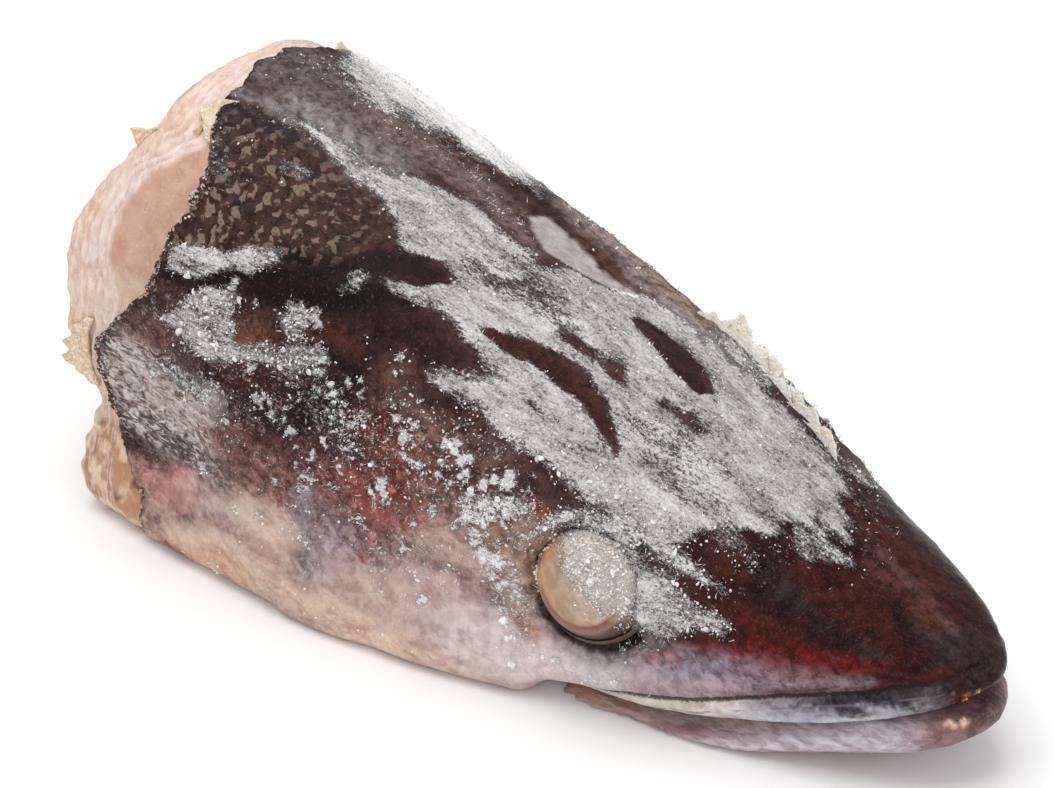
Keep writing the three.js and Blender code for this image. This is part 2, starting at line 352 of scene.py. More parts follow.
# Each line: colour, opacity, softness, raggedness, both sides, marks as (station, degrees, radius).
SKIN_PAINT = [
    # pale throat and lower flank
    ("#b39a8f", 1.0, 9, 3, True, [(96, -128, 10), (130, -130, 13), (170, -132, 14), (215, -136, 14)]),
    ("#d6b9a8", 0.9, 5, 4, True, [
        (112, -122, 4), (140, -124, 6), (160, -122, 6), (185, -124, 6), (200, -128, 6)]),
    # lilac-pink cheek under the eye
    ("#d2c2bf", 0.95, 8, 3, True, [(60, -116, 4), (80, -116, 7), (100, -113, 11), (118, -110, 11)]),
    ("#c3a6a2", 0.8, 9, 4, True, [(118, -98, 8), (134, -108, 9)]),
    ("#977b7c", 0.95, 7, 3, True, [(140, -106, 8), (152, -105, 8)]),
    ("#c79c8e", 0.7, 5, 4, True, [(170, -104, 5), (164, -112, 5), (168, -118, 5)]),
    ("#7a524d", 0.95, 8, 4, True, [(152, -92, 8), (168, -98, 9), (184, -98, 7)]),
    ("#6a4641", 0.95, 8, 4, True, [(106, -80, 9), (118, -78, 12), (130, -78, 10), (140, -92, 9)]),
    ("#57231f", 0.6, 5, 5, True, [
        (150, -86, 4), (124, -76, 3), (112, -88, 3), (126, -86, 5), (140, -84, 4), (152, -86, 4)]),
    ("#2b1d1c", 0.95, 5, 3, True, [
        (157, -43, 4), (148, -43, 7), (132, -49, 8), (118, -60, 6), (146, -56, 8)]),
    ("#292124", 0.95, 6, 4, True, [(150, -68, 7), (160, -76, 8), (170, -80, 6), (140, -66, 6)]),
    ("#6b2a20", 0.75, 4, 3, True, [(126, -62, 2.5), (132, -72, 3.5), (131, -82, 3)]),
    ("#4a211c", 0.7, 2.5, 3, False, [(149, -54, 1.2), (156, -53, 2), (162, -54, 1.2)]),
    ("#0f0908", 0.9, 1.6, 1, True, [(148, -59, 0.8), (156, -58, 1.4), (165, -58, 1)]),
    ("#6a5049", 0.85, 6, 4, True, [(137, -56, 5), (128, -59, 6), (118, -60, 6), (109, -59, 4)]),
    ("#6e3229", 0.85, 5, 4, True, [(142, -67, 4), (134, -70, 6), (124, -72, 6)]),
    ("#7d5f58", 0.7, 5, 4, True, [(118, -76, 5), (110, -78, 4)]),
    ("#c4a7a0", 0.8, 6, 4, True, [(122, -90, 4), (114, -86, 5), (108, -86, 5), (104, -90, 4)]),
    ("#dcc6b6", 0.7, 3, 3, True, [(105, -80, 3), (102, -84, 3), (102, -92, 3)]),
    ("#d2bab0", 0.7, 5, 4, True, [(150, -116, 5), (140, -114, 5), (132, -112, 4)]),
    ("#8f4a43", 0.6, 3, 3, True, [(146, -84, 3), (140, -90, 3), (128, -88, 3), (121, -80, 2)]),
    ("#c4796a", 0.85, 0.7, 1.2, False, [
        (131, -80, 0.3), (136, -86, 0.6), (137, -92, 0.6), (138, -99, 0.8), (139.5, -105, 0.8)]),
    ("#b4776b", 0.6, 0.7, 1.2, False, [(128, -73, 0.2), (131, -77, 0.5), (134, -82, 0.5)]),
    ("#8f2a22", 0.9, 0.9, 0.9, False, [(141, -107, 1.1), (139.8, -109, 1.5)]),
    ("#838089", 0.7, 3, 2, True, [(158, -100, 2.5), (157, -108, 3), (154, -118, 3.5)]),
    ("#8b8090", 0.35, 5, 3, True, [(148, -108, 5), (150, -114, 4)]),
    # shoulder skin behind the gill cover
    ("#a3968e", 0.95, 5, 3, True, [(188, -104, 4), (200, -101, 8), (214, -98, 8), (222, -92, 6)]),
    ("#4a433f", 0.45, 4, 3, True, [(190, -104, 3), (200, -105, 4), (208, -102, 3)]),
    ("#cba286", 0.75, 4, 4, True, [(178, -126, 3), (190, -128, 4), (204, -130, 5)]),
    ("#d6c2b6", 0.7, 4, 4, True, [(192, -118, 3), (180, -112, 4), (172, -112, 5), (162, -112, 5)]),
    ("#c4a79a", 0.7, 5, 4, True, [(176, -118, 4), (164, -114, 4)]),
    ("#5b504c", 0.9, 3, 3, True, [(182, -102, 2), (190, -107, 3), (198, -109, 3.5), (206, -106, 3)]),
    ("#8a4a3f", 0.8, 2.5, 2.5, True, [
        (213, -122, 1.5), (208, -127, 2), (204, -130, 2.5), (197, -132, 2)]),
    ("#7a5a52", 0.8, 5, 3, True, [(206, -80, 5), (214, -80, 5), (220, -84, 4)]),
    ("#c2958c", 0.9, 4, 3, True, [(196, -116, 3), (206, -119, 5), (214, -119, 5)]),
    ("#a8808a", 0.4, 4, 3, True, [(190, -112, 4), (182, -118, 4)]),
    # nape
    ("#40302b", 1.0, 6, 2, True, [(165, -25, 12), (185, -30, 14), (205, -32, 12)]),
    ("#5d5452", 0.85, 7, 4, True, [(170, -2, 6), (190, -4, 8), (212, -2, 9)]),
    ("#140b0a", 1.0, 3, 1.5, True, [
        (150, -38, 3), (160, -44, 4.5), (176, -49, 4), (192, -54, 3), (206, -58, 2.5)]),
    ("#120a09", 0.95, 2, 1, True, [
        (158, -35, 1.5), (165, -37.5, 2.2), (172, -40.5, 2.2), (180, -44, 1.5)]),
    ("#2d2c33", 0.9, 1.8, 1.6, False, [(208, -20, 2.5), (200, -17, 2.2), (190, -15, 1.6), (180, -13, 1)]),
    ("#7d797b", 0.6, 1.2, 1.2, False, [(209, -14, 1.5), (200, -12.5, 1.2), (190, -12, 1)]),
    ("#8f8987", 0.7, 4, 2, False, [(196, -8, 2), (182, -8, 4), (168, -8, 5)]),
    ("#3c393e", 0.6, 2, 2, False, [(206, -26, 3), (196, -33, 2), (190, -38, 1.5)]),
    ("#726c72", 0.6, 1.5, 2, True, [(201, -50, 2), (196, -47, 1.5)]),
    ("#1c1210", 0.97, 1.6, 1, True, [
        (204, -58, 1.5), (190, -54, 2), (180, -50, 2), (172, -46, 2.5), (164, -40, 3)]),
    ("#201511", 0.95, 2, 1, True, [(158, -34, 2.5), (150, -28, 4), (142, -25, 3)]),
    ("#b9aba3", 0.75, 4, 3, True, [(186, -84, 3), (196, -92, 4), (208, -90, 5), (216, -86, 4)]),
    ("#5f3e31", 0.95, 2.5, 1.5, True, [(177, -65, 3), (173, -60, 4.5)]),
    ("#8a5a42", 0.6, 1.5, 1.5, True, [(180, -66, 1.5), (176, -70, 1.5)]),
    ("#3d2019", 0.9, 2, 1.6, True, [(186, -78, 1.5), (178, -75, 2), (170, -71, 1.5)]),
    # snout
    ("#2a120f", 1.0, 8, 3, True, [(2, 0, 16), (20, 0, 22), (40, 0, 24), (52, 0, 22), (56, -30, 16)]),
    ("#32100d", 0.95, 7, 3, True, [(24, -62, 9), (42, -66, 12), (58, -58, 9)]),
    ("#43201a", 0.6, 4, 4, True, [(46, -34, 3), (40, -50, 4), (28, -58, 3), (18, -64, 2)]),
    ("#4c221b", 0.6, 3, 3, True, [(62, -44, 2), (54, -50, 3), (50, -58, 2)]),
    ("#380f0e", 0.85, 4, 3, True, [(16, -82, 3), (30, -86, 5), (46, -87, 5.5), (60, -92, 3.5)]),
    ("#6e1a14", 0.6, 2.0, 3, True, [
        (16, -81, 0.6), (28, -84, 1.4), (42, -86, 2), (56, -91, 2), (66, -99, 0.8)]),
    ("#96261c", 0.85, 0.9, 1.8, True, [
        (48, -90, 0.5), (56, -93, 1.1), (62, -97, 1.2), (68, -102, 0.8), (74, -106, 0.4)]),
    ("#8f818b", 0.95, 3, 2.5, True, [
        (20, -94, 0.8), (30, -97, 2), (40, -99, 3.5), (52, -102, 5), (70, -108, 6)]),
    ("#7f7b8f", 0.5, 3, 3, True, [(44, -97, 2.5), (56, -100, 3), (74, -110, 3)]),
    ("#c3b9bc", 0.8, 4, 3, True, [(62, -107, 2), (76, -112, 4), (86, -114, 5)]),
    ("#a88f95", 0.7, 3, 3, True, [(46, -105, 2), (60, -110, 3), (74, -116, 4)]),
    ("#6b3a3c", 0.5, 3, 3, True, [(30, -92, 2), (44, -95, 2), (56, -99, 1.5)]),
    ("#4f2a22", 0.6, 4, 4, True, [(40, -28, 3), (30, -36, 4), (24, -48, 3)]),
    ("#1a0c0b", 0.75, 4, 4, True, [(50, -50, 3), (40, -62, 4), (26, -70, 3)]),
    ("#5c3129", 0.5, 3, 3, True, [(20, -18, 3), (14, -34, 3)]),
    ("#4a231d", 0.6, 2, 2.5, True, [(56, -70, 2), (46, -74, 2.5), (36, -76, 2)]),
    ("#34292a", 0.95, 3.5, 2, True, [(0, 0, 8), (5, -50, 6), (7, -80, 4)]),
    ("#3b3c40", 0.5, 2.5, 2, False, [(20, -35, 1.5), (14, -50, 2), (10, -62, 1.5)]),
    # painted highlight: reddish streaks along the snout's top and far edge (this line and the next)
    ("#6d5453", 0.6, 2, 2, False, [(38, 14, 1), (28, 20, 1.6), (20, 26, 2), (12, 30, 1.5)]),
    ("#5c3a36", 0.6, 2, 2, False, [(34, -2, 1.5), (26, -4, 2.5), (20, -12, 2)]),
    ("#0f0807", 0.9, 0.5, 0.4, False, [
        (7.5, -97, 0.4), (5.5, -88, 0.6), (4.5, -76, 0.5), (4.5, -62, 0.3)]),
    # hollows of the roof, where the skin is bare
    ("#3f261f", 0.95, 2.5, 1, False, [
        (92, -32, 3.4), (102, -30, 4.6), (112, -28.5, 4.2), (122, -29, 2.6), (127, -30, 1.4)]),
    ("#2e1d19", 0.95, 2, 1, False, [(85, 4, 3), (93, 8, 5), (102, 12, 4), (107, 12, 3)]),
    ("#6b5a56", 0.9, 4, 2, False, [(134, 3, 2), (146, 7, 5), (158, 9, 6), (170, 8, 5), (184, 4, 4)]),
    ("#cdc8c6", 0.8, 6, 3, False, [(206, 28, 9), (190, 30, 10), (175, 32, 8), (160, 34, 6)]),
    ("#8c7c79", 0.9, 4, 2, False, [(98, 30, 5), (112, 30, 6), (128, 33, 6), (144, 34, 6)]),
    ("#8f8b8f", 0.7, 2, 2, False, [(88, 30, 2), (98, 26, 2.5), (110, 25, 2)]),
    ("#2e2b2c", 0.9, 1.6, 1, False, [(76, 36, 1), (84, 35, 1.8), (92, 33, 1.6)]),
    ("#b79a83", 0.85, 0.7, 0.4, True, [
        (196, -86, 0.4), (191, -92, 0.5), (186, -99, 0.5), (181, -108, 0.4)]),
    # round the eye
    ("#a58877", 0.85, 4, 3, True, [(98, -70, 4), (102, -78, 5), (101, -88, 5), (97, -100, 4)]),
    ("#b59a8b", 0.8, 3, 3, True, [(104, -84, 2.5), (102, -94, 3), (98, -104, 3)]),
    ("#8a5a40", 0.7, 1.6, 2.4, True, [(108, -72, 2), (107, -80, 1.6), (101, -74, 2)]),
    # painted shade: a near-black stroke in the gap between the brow and the eye
    ("#14100f", 0.97, 1.4, 0.8, True, [
        (92, -62.5, 0.6), (87, -59.8, 1.6), (82, -60, 1.2), (78, -62, 0.8)]),
    ("#7a2c1b", 0.95, 1.2, 1.4, True, [(98, -63.5, 1.6), (95, -65, 1.8), (92, -63, 1)]),
    ("#7a2c1b", 0.9, 1.0, 1.0, True, [(102, -70, 1.6)]),
    # painted shadow: the dark crescent under the eye's lower side
    ("#3a2b29", 0.9, 1.6, 0.8, True, [
        (98, -92, 0.8), (94, -100, 1.4), (86, -105, 1.8), (78, -104, 1.4), (72, -98, 0.8)]),
    ("#a86f58", 0.6, 2.5, 2, True, [(104, -92, 2), (102, -102, 2.5), (96, -108, 2)]),
]

# Dense frost: strength, softness, raggedness, both sides and outline as (station, degrees).
FROST_OUTLINES = [
    # over the roof, down to the brow and along a streak up the nape
    (1.0, 3.0, 1.6, False, [
        (198, -13), (179, -14), (169, -15.5), (161, -18), (156, -22), (152, -25), (157, -33), (159, -41),
        (157, -41.5), (153, -36), (146, -35.5), (139, -33.5), (131, -34.5), (124, -36.5), (119, -39),
        (125, -42.5), (131, -46), (130, -49.5), (124, -50.5), (117, -49.5), (109, -51), (101, -51),
        (95, -53.5), (89, -55), (84, -56), (76, -58.5), (70, -61), (62, -63.5), (52, -66), (60, -61),
        (65, -55), (63, -48), (58, -41), (52, -36), (50, -30), (53, -24), (49, -18), (44, -14), (47, -9),
        (40, -4), (38, 1), (43, 6), (41, 11), (47, 17), (51, 24), (50, 32), (60, 38), (75, 38), (84, 33),
        (91, 31), (102, 28), (113, 25), (118, 15), (124, 6), (129, 0), (141, 0), (152, 3), (162, -1),
        (172, -7), (190, -10.5)]),
    # far side of the nape
    (0.95, 5.0, 3.0, False, [
        (200, 9), (189, 5), (180, 9), (175, 13), (172, 19), (164, 21), (157, 23), (150, 26), (160, 40),
        (176, 52), (196, 50), (210, 40), (210, 20)]),
    # temple
    (0.84, 2.0, 3.2, True, [
        (203, -57), (204, -53), (196, -49.5), (187, -46.5), (182, -41.5), (176, -38.5), (173.5, -40.5),
        (175, -45), (181, -50), (190, -53), (195, -56.5)]),
    (0.88, 1.8, 3.2, True, [
        (197, -60), (192, -56), (184, -53), (182, -56), (181.5, -62), (181, -66), (176.5, -66.5),
        (170.5, -63.5), (163, -58.5), (157.5, -56), (155, -59.5), (161, -65), (171.5, -68), (179, -71.5),
        (188, -74), (195, -72), (202, -71), (204, -69), (199, -65.5)]),
    (0.8, 1.6, 2.6, True, [
        (172, -51.5), (170, -48.5), (166.5, -46.8), (162.5, -48), (159, -42), (160.5, -50.5),
        (162.7, -55), (163.7, -58), (166.5, -58), (169.7, -57), (169.8, -53.5)]),
    # before the eye
    (0.8, 2.2, 2.6, True, [
        (76, -63), (68, -61), (62, -65), (57, -71), (51, -79), (50, -82), (57, -82), (60, -88), (64, -96),
        (69, -95), (70, -84), (72, -74)]),
]

# Places left bare or thinly covered, the same way, with the share of frost that they lose.
BARE_OUTLINES = [
    (1.0, 1.5, 0.9, False, [
        (126, -30.6), (121.5, -25.5), (115, -21.8), (109, -19.5), (103, -21), (97, -25.5), (91, -31),
        (87, -36), (86.5, -38.5), (91, -36), (96.5, -31.5), (105, -30.2), (113, -29.6), (120, -31)]),
    (1.0, 1.2, 0.6, False, [
        (160, -34), (157, -29), (152, -25), (149, -23), (144, -20.5), (139.5, -22.6), (139.5, -25),
        (142.6, -29.5), (149, -33), (155, -34.5)]),
    (1.0, 1.1, 0.6, False, [
        (108, 7), (99, 4), (89, 0.5), (84, 1.5), (83.5, 7), (86, 12.5), (92, 16), (101, 16), (106, 15.5),
        (108, 12)]),
    (0.6, 1.2, 1.5, False, [
        (118, -37), (114, -37.5), (109, -38.5), (104, -40), (108, -39.5), (114, -38.5)]),
    (0.7, 1.2, 1.4, False, [(116, -12), (107, -11), (98, -12), (97, -15), (106, -15.5), (114, -15)]),
    (0.6, 1.4, 1.4, False, [(88, -10), (82, -8), (76, -9.5), (77, -12.5), (83, -13.5), (88, -13)]),
    (0.22, 4.0, 3.0, False, [(92, -24), (80, -18), (68, -20), (64, -30), (72, -38), (84, -32)]),
    (0.3, 2.6, 2.5, False, [(140, -20), (124, -14), (112, -12), (112, -7), (126, -8), (142, -12)]),
    (1.0, 1.2, 0.9, True, [
        (94, -63), (90, -58.5), (86, -57.3), (80, -59), (76, -61.5), (80, -64), (88, -63.5)]),
    (0.8, 1.0, 1.4, True, [(101, -64), (98, -60.5), (94, -61), (96, -66)]),
]

# Frost that thins out along strokes: strength, softness, raggedness, marks as (station, degrees, radius).
FROST_PAINT = [
    (0.75, 3, 3, [(48, -22, 3), (42, -18, 2), (36, -15, 1)]),
    (0.7, 3, 3, [(60, -40, 4), (54, -46, 2), (50, -50, 1)]),
    (0.75, 2, 2.5, [(84, 36, 5), (92, 42, 6), (100, 40, 5)]),
    (0.6, 3, 3, [(98, -70, 2), (101, -78, 2.5), (102, -88, 2.5), (100, -98, 2)]),
    (0.66, 2.2, 4, [(112, -71, 2.2), (107, -69, 2.4), (102, -66, 1.8), (97, -61, 2.2)]),
    (0.55, 2.0, 3.0, [(118, -53, 2), (110, -55, 2), (102, -56, 2)]),
    (0.7, 2.0, 3.0, [(110, -74, 3), (108, -82, 2.5), (105, -90, 2)]),
    (0.5, 2.5, 3.5, [(104, -80, 2), (104, -92, 2), (101, -104, 2)]),
    (0.55, 2, 2.5, [(196, -34, 2), (202, -31, 2.5), (207, -27, 2)]),
    (0.5, 2, 3, [(190, -24, 1.5), (182, -22, 2)]),
]

# Loose crystals and specks, the same way.
DUST_PAINT = [
    (0.5, 4, 3, [(100, -58, 3), (108, -60, 5), (118, -60, 6), (128, -58, 6), (138, -56, 5)]),
    (0.9, 2.5, 3, [(112, -72, 4), (106, -70, 4), (100, -66, 3), (97, -62, 3)]),
    (0.75, 4, 3, [(102, -70, 4), (106, -80, 5), (105, -92, 4), (102, -102, 4), (97, -112, 4)]),
    (0.6, 6, 4, [(116, -72, 7), (128, -72, 8), (142, -74, 7), (154, -78, 5)]),
    (0.5, 8, 4, [(112, -90, 9), (124, -98, 9), (138, -104, 8)]),
    (0.42, 8, 4, [(150, -94, 9), (168, -100, 9), (180, -92, 8)]),
    (0.75, 1.6, 1.5, [(152, -66, 1.5), (147, -70, 2.5), (141, -68, 1.5)]),
    (0.75, 1.6, 1.5, [(151, -77, 1.5), (146, -80, 2), (140, -77, 1.5), (136, -74, 1.5)]),
    (0.75, 1.6, 1.5, [(134, -62, 1.5), (129, -60, 1.2)]),
    (0.7, 1.6, 1.5, [(136, -81, 1), (131, -84, 2), (126, -86, 1.5), (122, -90, 1.5)]),
    (0.75, 1.4, 1.2, [(140, -48, 1.2), (137, -46, 1.4)]),
    (0.7, 1.6, 1.5, [(168, -74, 1.5), (161, -71, 2), (154, -66, 2)]),
    (0.6, 1.6, 1.5, [(181, -90, 1.2), (176, -91, 1.5)]),
    (0.45, 5, 4, [(190, -80, 6), (206, -86, 7), (218, -88, 6)]),
    (0.85, 2.5, 3, [(202, -82, 2.5), (194, -84, 3), (186, -83, 3), (178, -79, 2.5), (170, -76, 2)]),
    (0.55, 3, 3, [(72, -114, 3), (84, -116, 4), (94, -116, 4)]),
    (0.42, 6, 4, [(54, -72, 4), (50, -48, 5), (42, -20, 5), (38, 10, 5)]),
    (0.35, 6, 4, [(208, -34, 6), (196, -28, 6), (212, -50, 4)]),
    (0.5, 4, 4, [(206, 2, 8), (190, 6, 7), (176, 4, 5)]),
    (0.55, 5, 4, [(140, 8, 4), (155, 12, 7), (170, 14, 7), (186, 8, 6)]),
    (0.55, 5, 4, [(104, 31, 5), (118, 32, 6), (136, 34, 7), (152, 38, 7)]),
    (0.6, 1.6, 2, [(207, -16, 2), (196, -14, 2), (186, -12, 2)]),
    (0.3, 10, 4, [(130, -122, 8), (160, -126, 9), (190, -126, 8)]),
]

# Small clumps of ice crystals on the cheek: station, degrees and radius in millimetres.
CLUMPS = [
    (160, -53, 1.6), (163, -50, 1), (140, -50, 2), (137.5, -45.5, 1.6), (133, -47, 1), (124, -45, 1.6),
    (151.6, -67, 2), (148, -70, 1.6), (144, -68, 1.2), (151.4, -76.5, 1.8), (146, -78, 1.4),
    (141, -76, 1), (133, -62, 2.2), (127, -64, 2), (129, -69, 1.2), (135, -80, 1.8), (133, -84, 1.6),
    (127, -80, 1), (123, -84, 1.2), (120, -68, 2.4), (116, -64, 2.4), (114, -76, 1.6), (111.6, -71, 2.6),
    (108, -74, 2.2), (106, -62, 3), (104, -68, 2.4), (104, -85, 2), (106, -92, 1.6), (104.5, -100, 2),
    (101.5, -111, 1.6), (97, -115, 1.6), (91, -111, 1.5), (90, -113, 1.2), (158, -91, 1.8), (155, -86, 1),
    (135.5, -104.5, 1.8), (140, -97, 1), (167.5, -76, 1.6), (172, -80, 1), (162, -70, 1.2),
    (180.5, -90, 1.6), (176, -91, 1.2), (186, -82, 1.2), (194, -88, 1.4), (206, -82, 1.6),
    (212, -92, 1.2), (118, -100, 1.2), (126, -110, 1.2), (84, -118, 1.4), (98, -70, 1.2), (96, -65, 1),
    (88, -61, 1.2), (77, -61, 1.4), (70, -68, 1.6), (66, -75, 1.4), (101, -76, 1.4), (145, -62, 1),
    (156, -63, 1), (147, -84, 1.2), (150, -94, 1), (143, -88, 1), (138, -70, 1.4), (122, -76, 1.6)]

# Cracks and torn bits at the mouth's tip: colour and spots as x, y, z and radius in millimetres.
TIP_MARKS = [
    ("#4a1512", [(120, -8, 23, 1.2), (119, -10.5, 21.5, 1.0), (120.6, -10.4, 17.6, 1.0)]),
    ("#1a0c0b", [
        (123.5, -5, 24.5, 0.5), (122.6, -7, 22, 0.7), (120.8, -8.4, 24, 0.7), (120.6, -8.9, 22.6, 0.7),
        (121, -9.4, 20.6, 0.7), (121.4, -9.3, 18.8, 0.6)]),
    ("#a8502e", [(121.6, -7, 24.6, 0.8), (119.4, -9.6, 24.4, 0.6), (121.6, -8.7, 17.6, 0.7)]),
    ("#e0c0a4", [
        (120.2, -11, 19.1, 1.1), (119.2, -11.6, 19.8, 0.8), (120.9, -10.6, 18, 0.9),
        (122.3, -8.3, 18.7, 0.8), (122, -7.6, 20.4, 0.6), (119.6, -9.4, 26.2, 0.35),
        (121.4, -6.4, 27.6, 0.35), (122.8, -5, 25.6, 0.4)]),
]

# Colour, softness, raggedness, both sides and outline of patches with a clear edge.
SKIN_PATCHES = [
    ("#a9a19e", 0.9, 0.7, False, [
        (143, 15), (137, 9), (132, 6.5), (124, 9.5), (116, 16), (113, 22), (118, 21), (124, 19.2),
        (133, 20.5), (141, 21)]),
    ("#4f382e", 0.8, 0.6, False, [
        (134, 21.2), (127, 19.7), (117, 20.2), (120, 24), (128, 25.8), (133, 24)]),
    ("#8a6f5e", 1.2, 1.2, False, [(112, 30), (100, 33), (98, 36), (108, 37), (122, 36), (124, 32)]),
]


def paint_skin(surface, points):
    """Linear colour of every point of the skin."""
    colour = np.tile(rgb("#43332f"), (len(points), 1))
    for i, (code, opacity, soft, ragged, both, marks) in enumerate(SKIN_PAINT):
        for side, path in enumerate((marks, mirrored(marks))[:1 + both]):
            share = opacity * stroke(points, surface.trace(path), soft, ragged, 40 + i * 2 + side)
            colour = mix(colour, rgb(code), share[:, None])
    for i, (code, soft, ragged, both, outline) in enumerate(SKIN_PATCHES):
        for side, path in enumerate((outline, mirrored(outline))[:1 + both]):
            colour = mix(
                colour, rgb(code), region(points, path, soft, ragged, 900 + i * 2 + side)[:, None])
    # dark skin scatters less light than the pale skin beside it, and its red lasts longest
    deep = ease(-0.09, 0.13, colour.mean(axis=1))[:, None]
    return colour * np.hstack((deep ** 0.35, deep ** 0.95, deep))


def lay_frost(surface, points, table, seed, cover):
    """Adds strokes to the frost cover of every point: marks on one flank are repeated on the other."""
    for i, (strength, soft, ragged, marks) in enumerate(table):
        flank = min(mark[1] for mark in marks) < -FLANK_DEGREES
        for side, path in enumerate((marks, mirrored(marks))[:1 + flank]):
            share = strength * stroke(points, surface.trace(path), soft, ragged, seed + i * 2 + side)
            cover = np.maximum(cover, share)
    return cover


def lay_clumps(surface, points, cover):
    """Adds the small clumps, each a handful of overlapping spots, on both flanks."""
    generator = np.random.default_rng(5)
    strewn = zip(
        generator.uniform(100, 188, 90), generator.uniform(-112, -50, 90),
        generator.uniform(0.5, 1.5, 90))
    for i, (station, degrees, radius) in enumerate(CLUMPS + list(strewn)):
        for side in (1, -1):
            spots = []
            for _ in range(7):
                aside = generator.normal(0, 1, 2) * radius * (0.9, 1.3)
                spot, _ = surface.find(station + aside[0], side * degrees + aside[1])
                spots.append([*spot, radius * generator.uniform(0.15, 0.55)])
            cover = np.maximum(cover, 0.95 * stroke(points, np.array(spots), 0.5, 0.7, 600 + i))
    return cover


def lay_crust(points):
    """Dense frost inside its outlines, from 0 to 1."""
    cover = np.zeros(len(points))
    for i, (strength, soft, ragged, both, outline) in enumerate(FROST_OUTLINES):
        for side, path in enumerate((outline, mirrored(outline))[:1 + both]):
            cover = np.maximum(cover, strength * region(points, path, soft, ragged, 700 + i * 2 + side))
    for i, (share, soft, ragged, both, outline) in enumerate(BARE_OUTLINES):
        for side, path in enumerate((outline, mirrored(outline))[:1 + both]):
            cover = cover * (1 - share * region(points, path, soft, ragged, 800 + i * 2 + side))
    return cover


# ---- Materials ----------------------------------------------------------------------------------


def frost_over(tree, dense, loose):
    """Granular frost with dark pores: its share from 0 to 1, its height and its colour."""
    place = in_millimetres(tree)
    grains = add(tree, "TexNoise", {
        "Vector": place, "Scale": 1 / 0.6, "Detail": 3, "Roughness": 0.75, "Distortion": 0.5})
    needles = add(tree, "TexNoise", {
        "Vector": in_millimetres(tree, (5.0, 0.7, 0.7), (0, 0.3, 0.12)), "Scale": 1 / 1.0, "Detail": 3,
        "Roughness": 0.7, "Distortion": 1.0})
    depth = add(tree, "TexNoise", {
        "Vector": in_millimetres(tree, (3.4, 1, 1), (0, 0.3, 0.1)), "Scale": 1 / 7, "Detail": 3,
        "Roughness": 0.66, "Distortion": 0.6})
    clumps = add(tree, "TexNoise", {
        "Vector": place, "Scale": 1 / 1.6, "Detail": 3, "Roughness": 0.74, "Distortion": 0.8})
    texture = add(tree, "Mix", {0: 0.5, 2: grains, 3: needles}).outputs[0]
    packed = add(tree, "Math", [dense, 1.4, -2.3], operation="MULTIPLY_ADD")
    packed = add(tree, "Math", [texture, 3.2, packed], operation="MULTIPLY_ADD")
    packed = add(tree, "Math", [depth, 1.2, packed], operation="MULTIPLY_ADD")
    crust = add(tree, "Math", [
        add(tree, "MapRange", [packed, 0.45, 1.1], **SMOOTH),
        add(tree, "MapRange", [dense, 0.05, 0.3], **SMOOTH)], operation="MULTIPLY")
    spots = add(tree, "Math", [
        clumps, 2.8,
        add(tree, "Math", [loose, 0.9, -2.3], operation="MULTIPLY_ADD")], operation="MULTIPLY_ADD")
    spots = add(tree, "Math", [grains, 1.8, spots], operation="MULTIPLY_ADD")
    specks = add(tree, "Math", [
        add(tree, "MapRange", [spots, 0.6, 1.0], **SMOOTH),
        add(tree, "MapRange", [loose, 0.02, 0.12], **SMOOTH)], operation="MULTIPLY")
    share = add(tree, "Math", [
        crust, add(tree, "Math", [specks, 0.85], operation="MULTIPLY")], operation="MAXIMUM")
    tone = add(tree, "Math", [
        depth, 1.5,
        add(tree, "Math", [texture, 2.6, -1.6], operation="MULTIPLY_ADD")], operation="MULTIPLY_ADD")
    tone = add(tree, "Math", [specks, 0.5, tone], operation="MULTIPLY_ADD")
    colour = add(tree, "Mix", [
        add(tree, "MapRange", [tone, 0.0, 1.0], **SMOOTH), linear("#857c77"),
        linear("#dfdbd8")], **COLOURS)
    return share, texture, colour


